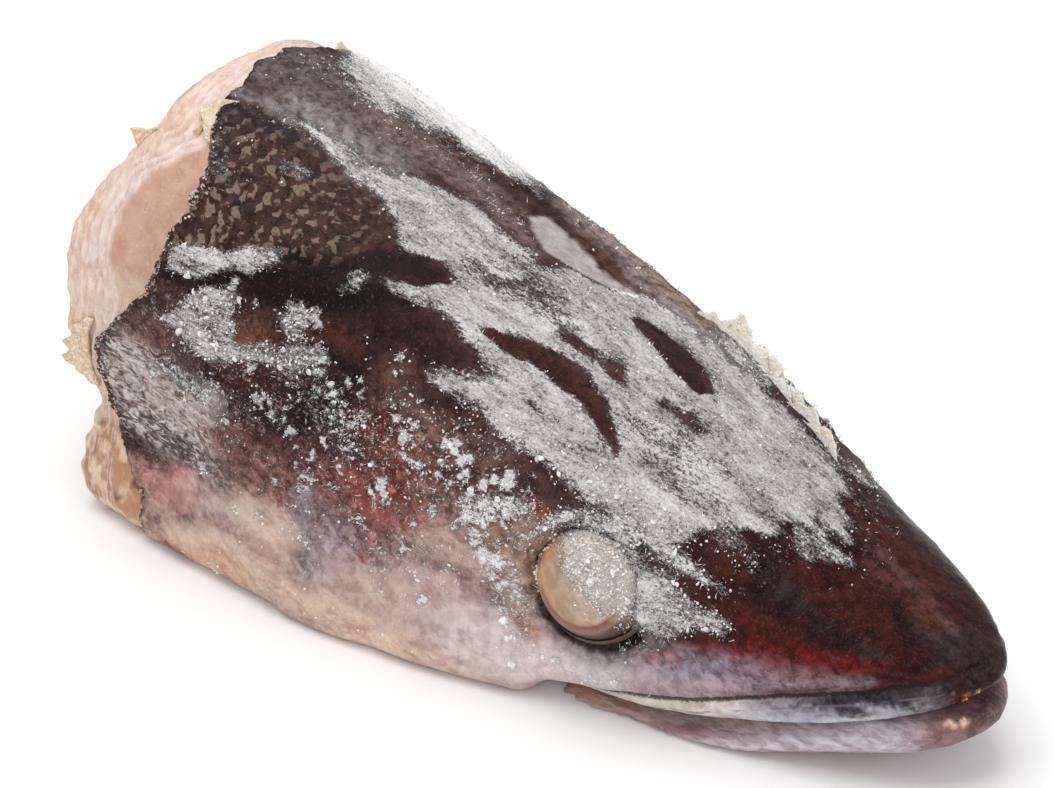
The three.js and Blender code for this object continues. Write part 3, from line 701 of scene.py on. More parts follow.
def frozen_skin():
    """Raw fish skin, wet where it is bare and dull where frost lies: fine mottling, scales that show as
    tan marks on the nape, and white granular frost with dark pores."""
    material, tree = new_material("frozen_fish_skin")
    paint = add(tree, "Attribute", attribute_name="paint", attribute_type="GEOMETRY").outputs["Color"]
    dense, loose, scales, gloss = layer_parts(tree, "cover")
    groove, mouth, edge, lip = layer_parts(tree, "lines")
    streaks, freckles, calm, bright = layer_parts(tree, "extra")
    place = in_millimetres(tree)
    mottle = add(tree, "TexNoise", {
        "Vector": place, "Scale": 1 / 2.6, "Detail": 3, "Roughness": 0.7, "Distortion": 0.4})
    fine = add(tree, "TexNoise", {"Vector": place, "Scale": 1 / 0.7, "Detail": 2, "Roughness": 0.65})
    dark = add(tree, "Mix", [1.0, paint, (0.42, 0.36, 0.36, 1)], **TINT)
    light = add(tree, "Mix", [1.0, paint, (1.55, 1.55, 1.55, 1)], **TINT)
    colour = add(tree, "Mix", [
        add(tree, "MapRange", [mottle, 0.3, 0.7], **SMOOTH), dark, light], **COLOURS)
    colour = add(tree, "Mix", [
        add(tree, "Math", [calm, 0.72], operation="MULTIPLY"), colour, paint], **COLOURS)
    dusty = add(tree, "Math", [
        add(tree, "MapRange", [fine, 0.54, 0.8, 0.0, 0.55], **SMOOTH),
        add(tree, "Math", [freckles, 0.15], operation="ADD")], operation="MULTIPLY")
    colour = add(tree, "Mix", [dusty, colour, linear("#b9aca7")], **COLOURS)
    # soft dark blotches and a few thin pale creases on the cheek
    web = add(tree, "TexNoise", {
        "Vector": in_millimetres(tree, (1.6, 1, 1), (0, -0.4, 0)), "Scale": 1 / 6, "Detail": 3,
        "Roughness": 0.66, "Distortion": 0.3})
    blotch = add(tree, "Math", [
        add(tree, "MapRange", [web, 0.36, 0.54, 0.5, 0.0], **SMOOTH), freckles], operation="MULTIPLY")
    colour = add(tree, "Mix", [
        blotch, colour, add(tree, "Mix", [1.0, colour, (0.5, 0.36, 0.36, 1)], **TINT)], **COLOURS)
    crease = add(tree, "MapRange", [
        add(tree, "Math", [add(tree, "Math", [web, -0.56], operation="ADD")], operation="ABSOLUTE"),
        0.018, 0.0], **SMOOTH)
    crease = add(tree, "Math", [
        add(tree, "Math", [
            crease, add(tree, "MapRange", [mottle, 0.45, 0.6], **SMOOTH)], operation="MULTIPLY"),
        freckles], operation="MULTIPLY")
    colour = add(tree, "Mix", [
        add(tree, "Math", [crease, 0.35], operation="MULTIPLY"), colour, linear("#cdb7b0")], **COLOURS)
    dashes = add(tree, "TexNoise", {
        "Vector": in_millimetres(tree, (2.4, 0.9, 0.9), (0, -0.6, 0.2)), "Scale": 1 / 1.6, "Detail": 2,
        "Roughness": 0.7, "Distortion": 1.0})
    colour = add(tree, "Mix", [
        add(tree, "Math", [
            add(tree, "MapRange", [dashes, 0.5, 0.62, 0.0, 0.85], **SMOOTH),
            streaks], operation="MULTIPLY"), colour, linear("#c9c2bd")], **COLOURS)
    colour = add(tree, "Mix", [
        add(tree, "Math", [
            add(tree, "MapRange", [dashes, 0.47, 0.37, 0.0, 0.8], **SMOOTH),
            streaks], operation="MULTIPLY"), colour, linear("#3a312c")], **COLOURS)
    # scales about 3 mm long in slanting rows: some show their hind edge as a tan chevron
    bend = add(tree, "TexNoise", {"Vector": place, "Scale": 0.3, "Detail": 2}).outputs["Color"]
    rows = add(tree, "VectorMath", {
        0: bend, 1: (2, 2, 2),
        2: in_millimetres(tree, (1.35, 1, 1), (0.1, 0.35, 0.45))}, operation="MULTIPLY_ADD").outputs[0]
    cells = add(tree, "TexVoronoi", {"Vector": rows, "Scale": 0.5, "Randomness": 0.5})
    apart = add(tree, "VectorMath", {
        0: rows, 1: cells.outputs["Position"]}, operation="SUBTRACT").outputs[0]
    gap = add(tree, "SeparateXYZ", {0: apart}).outputs
    point = add(tree, "Math", [
        add(tree, "Math", [gap[1]], operation="ABSOLUTE"), 0.7, gap[0]], operation="MULTIPLY_ADD")
    chosen = add(tree, "SeparateColor", {0: cells.outputs["Color"]}).outputs[0]
    marks = add(tree, "Math", [
        add(tree, "MapRange", [point, 0.25, -0.15], **SMOOTH),
        add(tree, "MapRange", [cells.outputs["Distance"], 0.95, 0.7], **SMOOTH)], operation="MULTIPLY")
    marks = add(tree, "Math", [
        marks,
        add(tree, "MapRange", [
            add(tree, "Math", [mottle, 2.0, chosen], operation="MULTIPLY_ADD"), 1.15,
            1.5], **SMOOTH)], operation="MULTIPLY")
    marks = add(tree, "Math", [
        add(tree, "Math", [
            marks, add(tree, "MapRange", [fine, 0.3, 0.55, 0.5, 1.0], **SMOOTH)], operation="MULTIPLY"),
        scales], operation="MULTIPLY")
    colour = add(tree, "Mix", [
        add(tree, "Math", [marks, 0.75], operation="MULTIPLY"), colour, linear("#8a7567")], **COLOURS)
    along = add(tree, "TexNoise", {
        "Vector": in_millimetres(tree, (5, 1, 1), (0, -0.3, 0)), "Scale": 1 / 2.5, "Detail": 2,
        "Roughness": 0.6, "Distortion": 0.3})
    # dark lines: painted shade in the groove over the lip and along the mouth's edge, then the torn edge
    # of the skin
    for distance, width in ((groove, 0.75), (mouth, 0.6)):
        away = add(tree, "Math", [add(tree, "Math", [
            distance, LINE_REACH, -LINE_REACH / 2], operation="MULTIPLY_ADD")], operation="ABSOLUTE")
        away = add(tree, "Math", [
            fine, 0.8, add(tree, "Math", [away, -0.4], operation="ADD")], operation="MULTIPLY_ADD")
        line = add(tree, "Math", [
            add(tree, "MapRange", [away, width, width * 0.35], **SMOOTH), lip], operation="MULTIPLY")
        colour = add(tree, "Mix", [
            add(tree, "Math", [line, 0.85], operation="MULTIPLY"), colour, linear("#251516")], **COLOURS)
    for distance, offset, width, code in ((groove, 2.6, 0.4, "#6a606c"), (mouth, -1.3, 0.45, "#e6d9cc"),
                                          (mouth, -2.2, 0.3, "#7d6a66")):
        away = add(tree, "Math", [add(tree, "Math", [
            distance, LINE_REACH,
            offset - LINE_REACH / 2], operation="MULTIPLY_ADD")], operation="ABSOLUTE")
        line = add(tree, "Math", [
            add(tree, "MapRange", [away, width, width * 0.3, 0.0, 0.7], **SMOOTH),
            lip], operation="MULTIPLY")
        line = add(tree, "Math", [
            line, add(tree, "MapRange", [along, 0.42, 0.56], **SMOOTH)], operation="MULTIPLY")
        colour = add(tree, "Mix", [line, colour, linear(code)], **COLOURS)
    shreds = add(tree, "TexNoise", {
        "Vector": in_millimetres(tree, (2.0, 1, 1), (0, 0.3, 0)), "Scale": 1 / 1.7, "Detail": 3,
        "Roughness": 0.65, "Distortion": 0.8})
    torn = add(tree, "Math", [
        shreds, 9.0,
        add(tree, "Math", [
            edge, LINE_REACH,
            -LINE_REACH / 2 - 4.6], operation="MULTIPLY_ADD")], operation="MULTIPLY_ADD")
    colour = add(tree, "Mix", [
        add(tree, "MapRange", [torn, -1.6, -0.7, 0.0, 0.8], **SMOOTH), colour,
        linear("#2a1c17")], **COLOURS)
    colour = add(tree, "Mix", [
        add(tree, "MapRange", [torn, -0.2, 0.4, 0.0, 0.95], **SMOOTH), colour,
        linear("#c2a08a")], **COLOURS)
    share, height, frost_colour = frost_over(tree, dense, loose)
    colour = add(tree, "Mix", [
        share, colour, add(tree, "Mix", [bright, frost_colour, linear("#f7f6f6")], **COLOURS)], **COLOURS)
    rough = add(tree, "MapRange", [gloss, 0.0, 1.0, 0.62, 0.27], **SMOOTH)
    rough = add(tree, "Math", [
        fine, 0.24, add(tree, "Math", [rough, -0.12], operation="ADD")], operation="MULTIPLY_ADD")
    rough = add(tree, "Mix", {0: share, 2: rough, 3: 0.85}).outputs[0]
    crust = add(tree, "Math", [
        share, add(tree, "Math", [height, 1.0, 0.2], operation="MULTIPLY_ADD")], operation="MULTIPLY")
    crust = add(tree, "Math", [
        crust, add(tree, "MapRange", [bright, 0.5, 0.95, 1.0, 0.35], **SMOOTH)], operation="MULTIPLY")
    relief = add(tree, "Math", [
        mottle, 0.3, add(tree, "Math", [fine, 0.12], operation="MULTIPLY")], operation="MULTIPLY_ADD")
    relief = add(tree, "Math", [relief, crust], operation="ADD")
    looks = {"Base Color": colour, "Roughness": rough, "IOR": WET_IOR, "Specular IOR Level": 0.17}
    finish_material(tree, looks, relief, 1.0, 0.7)
    return material


def raw_flesh():
    """Raw white fish flesh, frozen: smooth pinkish beige that turns ridged and pale towards the cut."""
    material, tree = new_material("raw_fish_flesh")
    paint = add(tree, "Attribute", attribute_name="paint", attribute_type="GEOMETRY").outputs["Color"]
    ridged = layer_parts(tree, "cover")[0]
    place = in_millimetres(tree)
    fibres = add(tree, "TexNoise", {
        "Vector": in_millimetres(tree, (0.9, 4, 4)), "Scale": 1 / 1.0, "Detail": 3, "Roughness": 0.6,
        "Distortion": 0.6})
    soft = add(tree, "TexNoise", {"Vector": place, "Scale": 1 / 5.0, "Detail": 3, "Roughness": 0.6})
    fine = add(tree, "TexNoise", {"Vector": place, "Scale": 1 / 0.8, "Detail": 3, "Roughness": 0.6})
    colour = add(tree, "Mix", [
        add(tree, "MapRange", [soft, 0.35, 0.65], **SMOOTH),
        add(tree, "Mix", [1.0, paint, (0.86, 0.8, 0.77, 1)], **TINT), paint], **COLOURS)
    pale = add(tree, "Math", [
        add(tree, "MapRange", [fibres, 0.46, 0.66, 0.0, 0.45], **SMOOTH), ridged], operation="MULTIPLY")
    colour = add(tree, "Mix", [pale, colour, linear("#f1e8e2")], **COLOURS)
    colour = add(tree, "Mix", [
        add(tree, "MapRange", [fine, 0.55, 0.8, 0.0, 0.3], **SMOOTH), colour,
        linear("#f4ece6")], **COLOURS)
    height = add(tree, "Math", [
        add(tree, "Math", [fibres, fine], operation="ADD"), ridged], operation="MULTIPLY")
    relief = add(tree, "Math", [
        soft, 0.5, add(tree, "Math", [height, 0.6], operation="MULTIPLY")], operation="MULTIPLY_ADD")
    finish_material(tree, {
        "Base Color": colour, "Roughness": 0.42, "IOR": WET_IOR,
        "Subsurface Weight": 0.2, "Subsurface Radius": (0.004, 0.002, 0.0012), "Subsurface Scale": 1.0,
    }, relief, 0.7, 0.6)
    return material


def silvery_jaw():
    """Wet silvery skin of the lower jaw: pale and softly mottled, with fine light specks."""
    material, tree = new_material("silvery_jaw_skin")
    paint = add(tree, "Attribute", attribute_name="paint", attribute_type="GEOMETRY").outputs["Color"]
    place = in_millimetres(tree)
    mottle = add(tree, "TexNoise", {
        "Vector": in_millimetres(tree, (3, 1, 1)), "Scale": 1 / 2.0, "Detail": 5, "Roughness": 0.65,
        "Distortion": 0.5})
    fine = add(tree, "TexNoise", {"Vector": place, "Scale": 1 / 0.6, "Detail": 3, "Roughness": 0.65})
    dark = add(tree, "Mix", [1.0, paint, (0.6, 0.52, 0.54, 1)], **TINT)
    light = add(tree, "Mix", [1.0, paint, (1.25, 1.25, 1.28, 1)], **TINT)
    colour = add(tree, "Mix", [
        add(tree, "MapRange", [mottle, 0.3, 0.7], **SMOOTH), dark, light], **COLOURS)
    colour = add(tree, "Mix", [
        add(tree, "MapRange", [fine, 0.55, 0.8, 0.0, 0.5], **SMOOTH), colour,
        linear("#c9c2c4")], **COLOURS)
    relief = add(tree, "Math", [mottle, fine], operation="ADD")
    finish_material(tree, {
        "Base Color": colour, "Roughness": 0.36, "IOR": WET_IOR,
        "Subsurface Weight": 0.1, "Subsurface Radius": (0.004, 0.002, 0.0015), "Subsurface Scale": 1.0,
    }, relief, 0.6, 0.4)
    return material


def clouded_eye():
    """A frozen eye gone cloudy: cream and tan, glassy below and furred with frost above."""
    material, tree = new_material("clouded_frozen_eye")
    paint = add(tree, "Attribute", attribute_name="paint", attribute_type="GEOMETRY").outputs["Color"]
    dense, loose, _, _ = layer_parts(tree, "cover")
    place = in_millimetres(tree)
    cloud = add(tree, "TexNoise", {
        "Vector": place, "Scale": 1 / 2.4, "Detail": 3, "Roughness": 0.6, "Distortion": 0.6})
    fine = add(tree, "TexNoise", {"Vector": place, "Scale": 1 / 0.6, "Detail": 3, "Roughness": 0.6})
    colour = add(tree, "Mix", [
        add(tree, "MapRange", [cloud, 0.3, 0.7], **SMOOTH),
        add(tree, "Mix", [1.0, paint, (0.82, 0.78, 0.74, 1)], **TINT),
        add(tree, "Mix", [1.0, paint, (1.12, 1.12, 1.12, 1)], **TINT)], **COLOURS)
    share, height, frost_colour = frost_over(tree, dense, loose)
    frost_colour = add(tree, "Mix", [0.5, frost_colour, linear("#cbbfb3")], **COLOURS)
    colour = add(tree, "Mix", [
        add(tree, "Math", [share, 0.85], operation="MULTIPLY"), colour, frost_colour], **COLOURS)
    rough = add(tree, "Mix", {0: share, 2: 0.3, 3: 0.8}).outputs[0]
    relief = add(tree, "Math", [
        add(tree, "Math", [share, height], operation="MULTIPLY"), 1.0,
        add(tree, "Math", [fine, 0.1], operation="MULTIPLY")], operation="MULTIPLY_ADD")
    finish_material(tree, {"Base Color": colour, "Roughness": rough, "IOR": WET_IOR}, relief, 0.9, 0.5)
    return material


def torn_membrane():
    """Torn skin and membrane at the cut: thin, cream to orange, a little translucent."""
    material, tree = new_material("torn_fish_membrane")
    paint = add(tree, "Attribute", attribute_name="paint", attribute_type="GEOMETRY").outputs["Color"]
    place = in_millimetres(tree)
    stain = add(tree, "TexNoise", {
        "Vector": place, "Scale": 1 / 2.5, "Detail": 5, "Roughness": 0.7, "Distortion": 0.8})
    fine = add(tree, "TexNoise", {"Vector": place, "Scale": 1 / 0.7, "Detail": 3, "Roughness": 0.6})
    colour = add(tree, "Mix", [
        add(tree, "MapRange", [stain, 0.35, 0.65], **SMOOTH),
        add(tree, "Mix", [1.0, paint, (0.78, 0.66, 0.56, 1)], **TINT), paint], **COLOURS)
    colour = add(tree, "Mix", [
        add(tree, "MapRange", [fine, 0.48, 0.66, 0.0, 0.7], **SMOOTH), colour,
        linear("#f6eee6")], **COLOURS)
    relief = add(tree, "Math", [stain, fine], operation="ADD")
    finish_material(tree, {
        "Base Color": colour, "Roughness": 0.45, "IOR": WET_IOR,
        "Subsurface Weight": 0.25, "Subsurface Radius": (0.004, 0.002, 0.001), "Subsurface Scale": 1.0,
    }, relief, 0.9, 0.5)
    return material


def ice_crystals(bright):
    """Hoar frost: small dull white crystals, some of them greyer."""
    material, tree = new_material("hoar_frost")
    shade = add(tree, "TexNoise", {
        "Vector": in_millimetres(tree), "Scale": 1 / 1.2, "Detail": 2, "Roughness": 0.5})
    colour = add(tree, "Mix", [
        add(tree, "MapRange", [shade, 0.35, 0.65], **SMOOTH), linear("#c6c0bc"),
        tuple(bright)], **COLOURS)
    finish_material(tree, {"Base Color": colour, "Roughness": 0.55, "IOR": ICE_IOR})
    return material


def table_top():
    """Matt white laminate: even and pale, so only the soft shadow shows."""
    material, tree = new_material("matt_white_laminate")
    finish_material(tree, {"Base Color": linear("#fbfbfb"), "Roughness": 0.9})
    return material


# ---- Lines that pieces share --------------------------------------------------------------------


def lip_groove(station):
    """Height of the groove over the upper lip."""
    return np.interp(station, (0, 15, 36, 57, 80, 100), (30, 27, 20.5, 13, 7, 5))


def mouth_line(station):
    """Height of the slit between the lips."""
    return np.interp(station, (0, 10, 30, 54, 72, 96), (23, 19.5, 13, 7, 4, 3))


def skin_edge(station, degrees, points):
    """How far a point lies behind the ragged edge of the skin, in millimetres."""
    edge = np.interp(
        np.abs(degrees), (0, 10, 20, 28, 36, 46, 56, 64, 71, 80, 90, 103, 114, 122, 134, 180),
        (212, 211, 209, 206, 202, 204, 206.5, 209, 216, 223, 229, 224, 221, 211, 212, 210))
    return station - edge - 1.6 * lumps(points, 6, 7) - 0.9 * lumps(points, 2.2, 8)


def smooth_flesh_end(degrees):
    """Station where the smooth flesh gives way to ridges."""
    return np.interp(np.abs(degrees), (0, 16, 26, 33, 38, 45, 55, 64, 72, 90, 130, 180),
                     (209, 209, 207, 213, 218, 221.5, 224, 223.5, 221, 224, 222, 220))


# ---- Pieces -------------------------------------------------------------------------------------

BASE = {}


def head_base():
    """The head's even mesh, made once, and its surface to trace marks on."""
    if "mesh" not in BASE:
        settings = bpy.context.scene.hake_head
        BASE["mesh"] = fine_copy("head", settings.skin_mesh, 5)
        BASE["surface"] = Surface(BASE["mesh"])
    return BASE["mesh"], BASE["surface"]


def drop_faces(mesh, doomed, inside):
    """Deletes the faces whose corners are all marked, and closes the hole towards a point inside."""
    cut = bmesh.new()
    cut.from_mesh(mesh)
    cut.verts.ensure_lookup_table()
    gone = [f for f in cut.faces if all(doomed[v.index] for v in f.verts)]
    bmesh.ops.delete(cut, geom=gone, context="FACES")
    rim = [e for e in cut.edges if e.is_boundary]
    grown = bmesh.ops.extrude_edge_only(cut, edges=rim)["geom"]
    ends = [v for v in grown if isinstance(v, bmesh.types.BMVert)]
    bmesh.ops.pointmerge(cut, verts=ends, merge_co=Vector(inside) * MM)
    bmesh.ops.recalc_face_normals(cut, faces=cut.faces)
    cut.to_mesh(mesh)
    cut.free()


def settle(mesh, points, normals, lift):
    """Moves points along their normals, leaving what rests on the table flat."""
    lift = np.where(points[:, 2] < REST_HEIGHT, np.minimum(lift, 0), lift)
    moved = points + normals * lift[:, None]
    moved[:, 2] = np.maximum(moved[:, 2], 0)
    write_points(mesh, moved)
    return moved


def wear(piece, material):
    piece.data.materials.clear()
    piece.data.materials.append(material)


def eye_axes(node):
    """An eye's middle in millimetres, and its directions forward, upward and out of the head."""
    low, high = (np.array(corner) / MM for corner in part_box(node))
    centre = (low + high) / 2
    out = np.array([0.12, np.sign(centre[1]) * 0.86, 0.5])
    out /= np.linalg.norm(out)
    forward = np.cross(out, (0, 0, 1))
    forward *= np.sign(forward[0]) / np.linalg.norm(forward)
    upward = np.cross(forward, out)
    upward *= np.sign(upward[2])
    return centre, forward, upward, out


def round_eye(node, points):
    """Offsets of points from an eye's middle, in millimetres: forward, upward and out of the head."""
    centre, *axes = eye_axes(node)
    return [(points - centre) @ axis for axis in axes]


class HAKE_OT_head_skin(bpy.types.Operator):
    """Skull, cheeks, gill covers and nape in frozen skin, over the CAD head"""

    bl_idname = "hake.head_skin"
    bl_label = "Head skin"

    def execute(self, context):
        settings = context.scene.hake_head
        base, surface = head_base()
        mesh = base.copy()
        points = read_points(mesh)
        station, degrees = head_places(points)
        drop_faces(mesh, skin_edge(station, degrees, points) > 5, (SNOUT_X - 185, 0, 50))
        points, normals = read_points(mesh), read_normals(mesh)
        station, degrees = head_places(points)
        behind = skin_edge(station, degrees, points)
        turned = np.abs(degrees)
        frost = lay_frost(surface, points, FROST_PAINT, 300, lay_crust(points))
        frost = lay_clumps(surface, points, frost)
        dust = lay_frost(surface, points, DUST_PAINT, 500, np.zeros(len(points)))
        paint = paint_skin(surface, points)

        groove = points[:, 2] - lip_groove(station)
        mouth = points[:, 2] - mouth_line(station)
        lip = ease(4, 9, station) * ease(96, 88, station) * ease(70, 80, turned)
        share = np.clip(mouth / np.maximum(mouth - groove, 1), 0, 1)
        along = lumps(points * (0.16, 1, 1), 1.5, 61)
        silver = mix(rgb("#a3a0ae"), rgb("#dcdadf"), ease(-0.5, 0.6, along)[:, None])
        silver = mix(
            silver, rgb("#8e8398"), (0.5 * ease(0.0, 0.8, lumps(points * (0.3, 1, 1), 4, 63)))[:, None])
        silver = mix(silver, rgb("#cfc1b5"), ease(36, 60, station)[:, None] * 0.9)
        # painted shade: the lip turns dark towards the snout's tip and up under the dark snout
        shade_under_snout = ease(0.3, 0.7, share + 0.3 * along) * ease(48, 26, station)
        silver = mix(silver, rgb("#302d33"), shade_under_snout[:, None])
        silver = mix(silver, rgb("#4b4242"), (0.8 * ease(18, 7, station))[:, None])
        on_lip = lip * ease(0.4, -0.4, groove) * ease(-1.5, -0.5, mouth)
        paint = mix(paint, silver, on_lip[:, None])
        lift_tip = np.zeros(len(points))
        paint = mix(
            paint, rgb("#431514"), (0.7 * lip * bump(groove, 1.4, 1.1) * ease(60, 36, station))[:, None])
        nicks = lip * ease(-0.1, 0.5, lumps(points * (0.35, 1, 1), 2, 62))
        paint = mix(paint, rgb("#9c6a4c"), (0.8 * nicks * bump(mouth, 0.7, 0.6))[:, None])
        paint = mix(
            paint, rgb("#8f5a44"),
            (0.5 * nicks * bump(groove, -1.1, 0.5) * ease(20, 40, station))[:, None])

        for code, spots in TIP_MARKS:
            marked = stroke(points, np.array(spots), 0.5, 0.7, 91)
            paint = mix(paint, rgb(code), marked[:, None])
            lift_tip = lift_tip + 0.5 * marked if code == TIP_MARKS[-1][0] else lift_tip - 0.4 * marked
        nape = ease(156, 170, station) * ease(214, 200, station)
        nape *= ease(4, -3, turned - 33 - 0.45 * (station - 158))
        nape *= mix(0.35, 1, ease(14, 24, turned))
        gloss = 0.3 + 0.65 * ease(70, 40, station)
        lift = 0.4 + lift_tip
        lift += dust * 0.3 * lumps(points, 1.7, 23, 2) + 0.25 * lumps(points, 5, 22)
        lift += (
            lip
            * (0.7 * bump(share, 0.5, 0.45) * (groove < 0) * (mouth > 0) - 0.9 * bump(groove, 0, 0.9)))
        lift -= 3.5 * ease(-0.3, 1.2, behind)
        for node in ("eye_right", "eye_left"):
            forward, upward, out = round_eye(node, points)
            reach = np.hypot(forward, upward)
            below = ease(-0.1, -0.7, upward / EYE_REACH)
            lid = bump(reach, 15.6, 2.5) * ease(16, 10, np.abs(out))
            tall = (
                1.2 + 1.3 * ease(-2, 10, upward + 0.5 * forward)
                + 1.5 * ease(0, 9, forward) * ease(5, -5, upward))
            lift += lid * mix(tall, -0.7, below) * (1 + 0.3 * lumps(points, 3, 24))
            shade = bump(reach, 14.6, mix(1.1, 2.0, below)) * ease(16, 10, np.abs(out))
            shade *= np.maximum(below, 0.4 * ease(0.5, 1.0, (upward * 0.9 + forward * 0.5) / EYE_REACH))
            paint = mix(paint, rgb("#2b1d1a"), (0.85 * shade)[:, None])
            ring = (upward * 0.8 + forward * 0.5) / EYE_REACH + 0.25 + 0.5 * lumps(points, 3, 25)
            ring = bump(reach, 15.4, 2.3) * ease(16, 10, np.abs(out)) * ease(-0.3, 0.4, ring)
            frost = np.maximum(frost, 0.8 * ring)
            rim = bump(reach, 17.2, 1.2) * ease(16, 10, np.abs(out)) * below
            paint = mix(paint, rgb("#8f8587"), (0.6 * rim)[:, None])
        lift += frost * settings.frost_depth * (0.7 + 0.5 * lumps(points, 1.5, 21, 2))
        settle(mesh, points, normals, lift)
        write_layer(mesh, "paint", paint.T)
        write_layer(mesh, "cover", (frost, dust, nape, np.clip(gloss, 0, 1)))
        streaks = ease(182, 190, station) * ease(78, 84, turned) * ease(114, 106, turned)
        freckles = ease(96, 108, station) * ease(56, 66, turned)
        pale = ease(0.16, 0.4, paint.mean(axis=1))
        bright = np.maximum(0.75 * ease(10, 22, degrees) * ease(146, 162, station), 0.95 * pale)
        bright = np.maximum(
            bright, 0.25 * ease(52, 60, turned) * ease(60, 96, station) * ease(170, 158, station))
        write_layer(mesh, "extra", (streaks, freckles, pale, bright))
        write_layer(mesh, "lines", (
            *(np.clip(d / LINE_REACH + 0.5, 0, 1) for d in (groove, mouth, behind)), lip))
        shade_smooth(mesh)
        wear(add_piece("head_skin", mesh, ("head",)), frozen_skin())
        BASE["bed"] = (read_points(mesh), read_normals(mesh), frost, dust, behind)
        return {"FINISHED"}


class HAKE_OT_nape_flesh(bpy.types.Operator):
    """The bared flesh of the nape and the cut face behind the skin"""

    bl_idname = "hake.nape_flesh"
    bl_label = "Nape flesh"

    def execute(self, context):
        base, _ = head_base()
        mesh = base.copy()
        points = read_points(mesh)
        station, degrees = head_places(points)
        drop_faces(mesh, station < 190, (SNOUT_X - 205, 0, 50))
        points, normals = read_points(mesh), read_normals(mesh)
        station, degrees = head_places(points)
        behind = skin_edge(station, degrees, points)
        ridged = station - smooth_flesh_end(degrees)
        turned = np.abs(degrees)
        facing = ease(0.35, 0.75, -normals[:, 0])
        warp = ridged + 1.5 * lumps(points, 9, 33) + 0.5 * lumps(points, 3, 34)
        ridges = np.sin(warp * 2.1) * ease(0, 3, ridged) * (1 - facing)
        across = np.hypot(points[:, 1], points[:, 2] - 66)
        around = np.arctan2(points[:, 1], points[:, 2] - 66)
        layers = np.sin((across + 2.2 * np.cos(3 * around) + 1.2 * lumps(points, 8, 35)) * 1.05)
        lift = -0.9 * ease(10, 2, behind) + 0.3 * lumps(points, 4, 31)
        lift += 0.4 * ridges + facing * (0.35 * layers + 0.5 * lumps(points, 3, 36))
        settle(mesh, points, normals, lift)

        colour = np.tile(rgb("#c39f8b"), (len(points), 1))
        band = ease(-1, 1.5, ridged + 0.8 * lumps(points, 4, 37))
        colour = mix(colour, rgb("#e2cfc6"), band[:, None])
        colour = mix(colour, rgb("#dab6a4"), (0.6 * band * ease(0.1, 0.9, -ridges))[:, None])
        rim = ease(6, 11, ridged + 1.5 * lumps(points, 5, 38)) * (1 - facing)
        colour = mix(colour, rgb("#e3c4b0"), (0.75 * rim)[:, None])
        colour = mix(
            colour, rgb("#d09a70"), (0.7 * rim * ease(0.4, 0.9, lumps(points, 4.5, 39)))[:, None])
        cream = ease(60, 70, turned) * ease(92, 80, turned) * ease(3, -3, ridged)
        colour = mix(colour, rgb("#d9c6a8"), (0.7 * cream)[:, None])
        low = ease(104, 116, turned)
        colour = mix(colour, rgb("#b58a68"), low[:, None])
        colour = mix(colour, rgb("#d9bfa3"), (low * ease(-0.1, 0.5, lumps(points, 3.5, 40)))[:, None])
        colour = mix(colour, rgb("#7a3c28"), (low * ease(0.3, 0.8, lumps(points, 5, 41)))[:, None])
        meat = mix(rgb("#dcc5b6"), rgb("#c9a793"), ease(-0.2, 0.9, layers)[:, None])
        meat = mix(meat, rgb("#e9ddd2"), ease(0.2, 0.9, lumps(points, 4, 42))[:, None] * 0.7)
        meat = mix(
            meat, rgb("#8a4a3a"),
            (0.8 * bump(across, 11, 3.5) * ease(0.2, -0.6, np.cos(around)))[:, None])
        meat = mix(meat, rgb("#cfa98c"), ease(9, 7.5, across)[:, None])
        meat = mix(meat, rgb("#7d4f3f"), ease(3, 1.8, across)[:, None])
        throat = ease(30, 18, np.hypot(points[:, 1] * 0.8, points[:, 2] - 28) + 3 * lumps(points, 6, 43))
        meat = mix(meat, rgb("#6d2f26"), (0.85 * throat)[:, None])
        colour = mix(colour, meat, facing[:, None])
        write_layer(mesh, "paint", colour.T)
        write_layer(mesh, "cover", (np.maximum(band, facing * 0.6),))
        shade_smooth(mesh)
        wear(add_piece("nape_flesh", mesh), raw_flesh())
        return {"FINISHED"}


class HAKE_OT_lower_jaw(bpy.types.Operator):
    """Lower jaw in silvery skin, red towards the tip"""

    bl_idname = "hake.lower_jaw"
    bl_label = "Lower jaw"

    def execute(self, context):
        mesh = fine_copy("lower_jaw", 0.75, 3)
        points, normals = read_points(mesh), read_normals(mesh)
        station = SNOUT_X - points[:, 0]
        below = mouth_line(station) - points[:, 2]
        settle(mesh, points, normals, 0.2 * lumps(points, 4, 51) + 0.1)
        colour = np.tile(rgb("#c0b8bf"), (len(points), 1))
        colour = mix(colour, rgb("#b89d98"), ease(52, 84, station)[:, None])
        colour = mix(colour, rgb("#d0c5c6"), (0.4 * ease(-0.1, 0.7, lumps(points, 7, 52)))[:, None])
        colour = mix(colour, rgb("#9a5348"), (0.7 * ease(5, 10, below) * ease(10, 30, station))[:, None])
        colour = mix(
            colour, rgb("#c9a58c"), (0.8 * bump(below, 1.2, 0.9) * ease(30, 50, station))[:, None])
        colour = mix(
            colour, rgb("#7c3733"), (0.7 * bump(below, 3.4, 1.0) * ease(46, 60, station))[:, None])
        colour = mix(colour, rgb("#7c4a48"), (0.85 * ease(15, 6, station))[:, None])
        colour = mix(
            colour, rgb("#3a2223"),
            (0.8 * ease(7, 3, station) * ease(-0.3, 0.3, lumps(points, 3, 53)))[:, None])
        for code, spots in TIP_MARKS:
            colour = mix(colour, rgb(code), stroke(points, np.array(spots), 0.5, 0.7, 91)[:, None])
        write_layer(mesh, "paint", colour.T)
        shade_smooth(mesh)
        wear(add_piece("jaw_skin", mesh, ("lower_jaw",)), silvery_jaw())
        return {"FINISHED"}


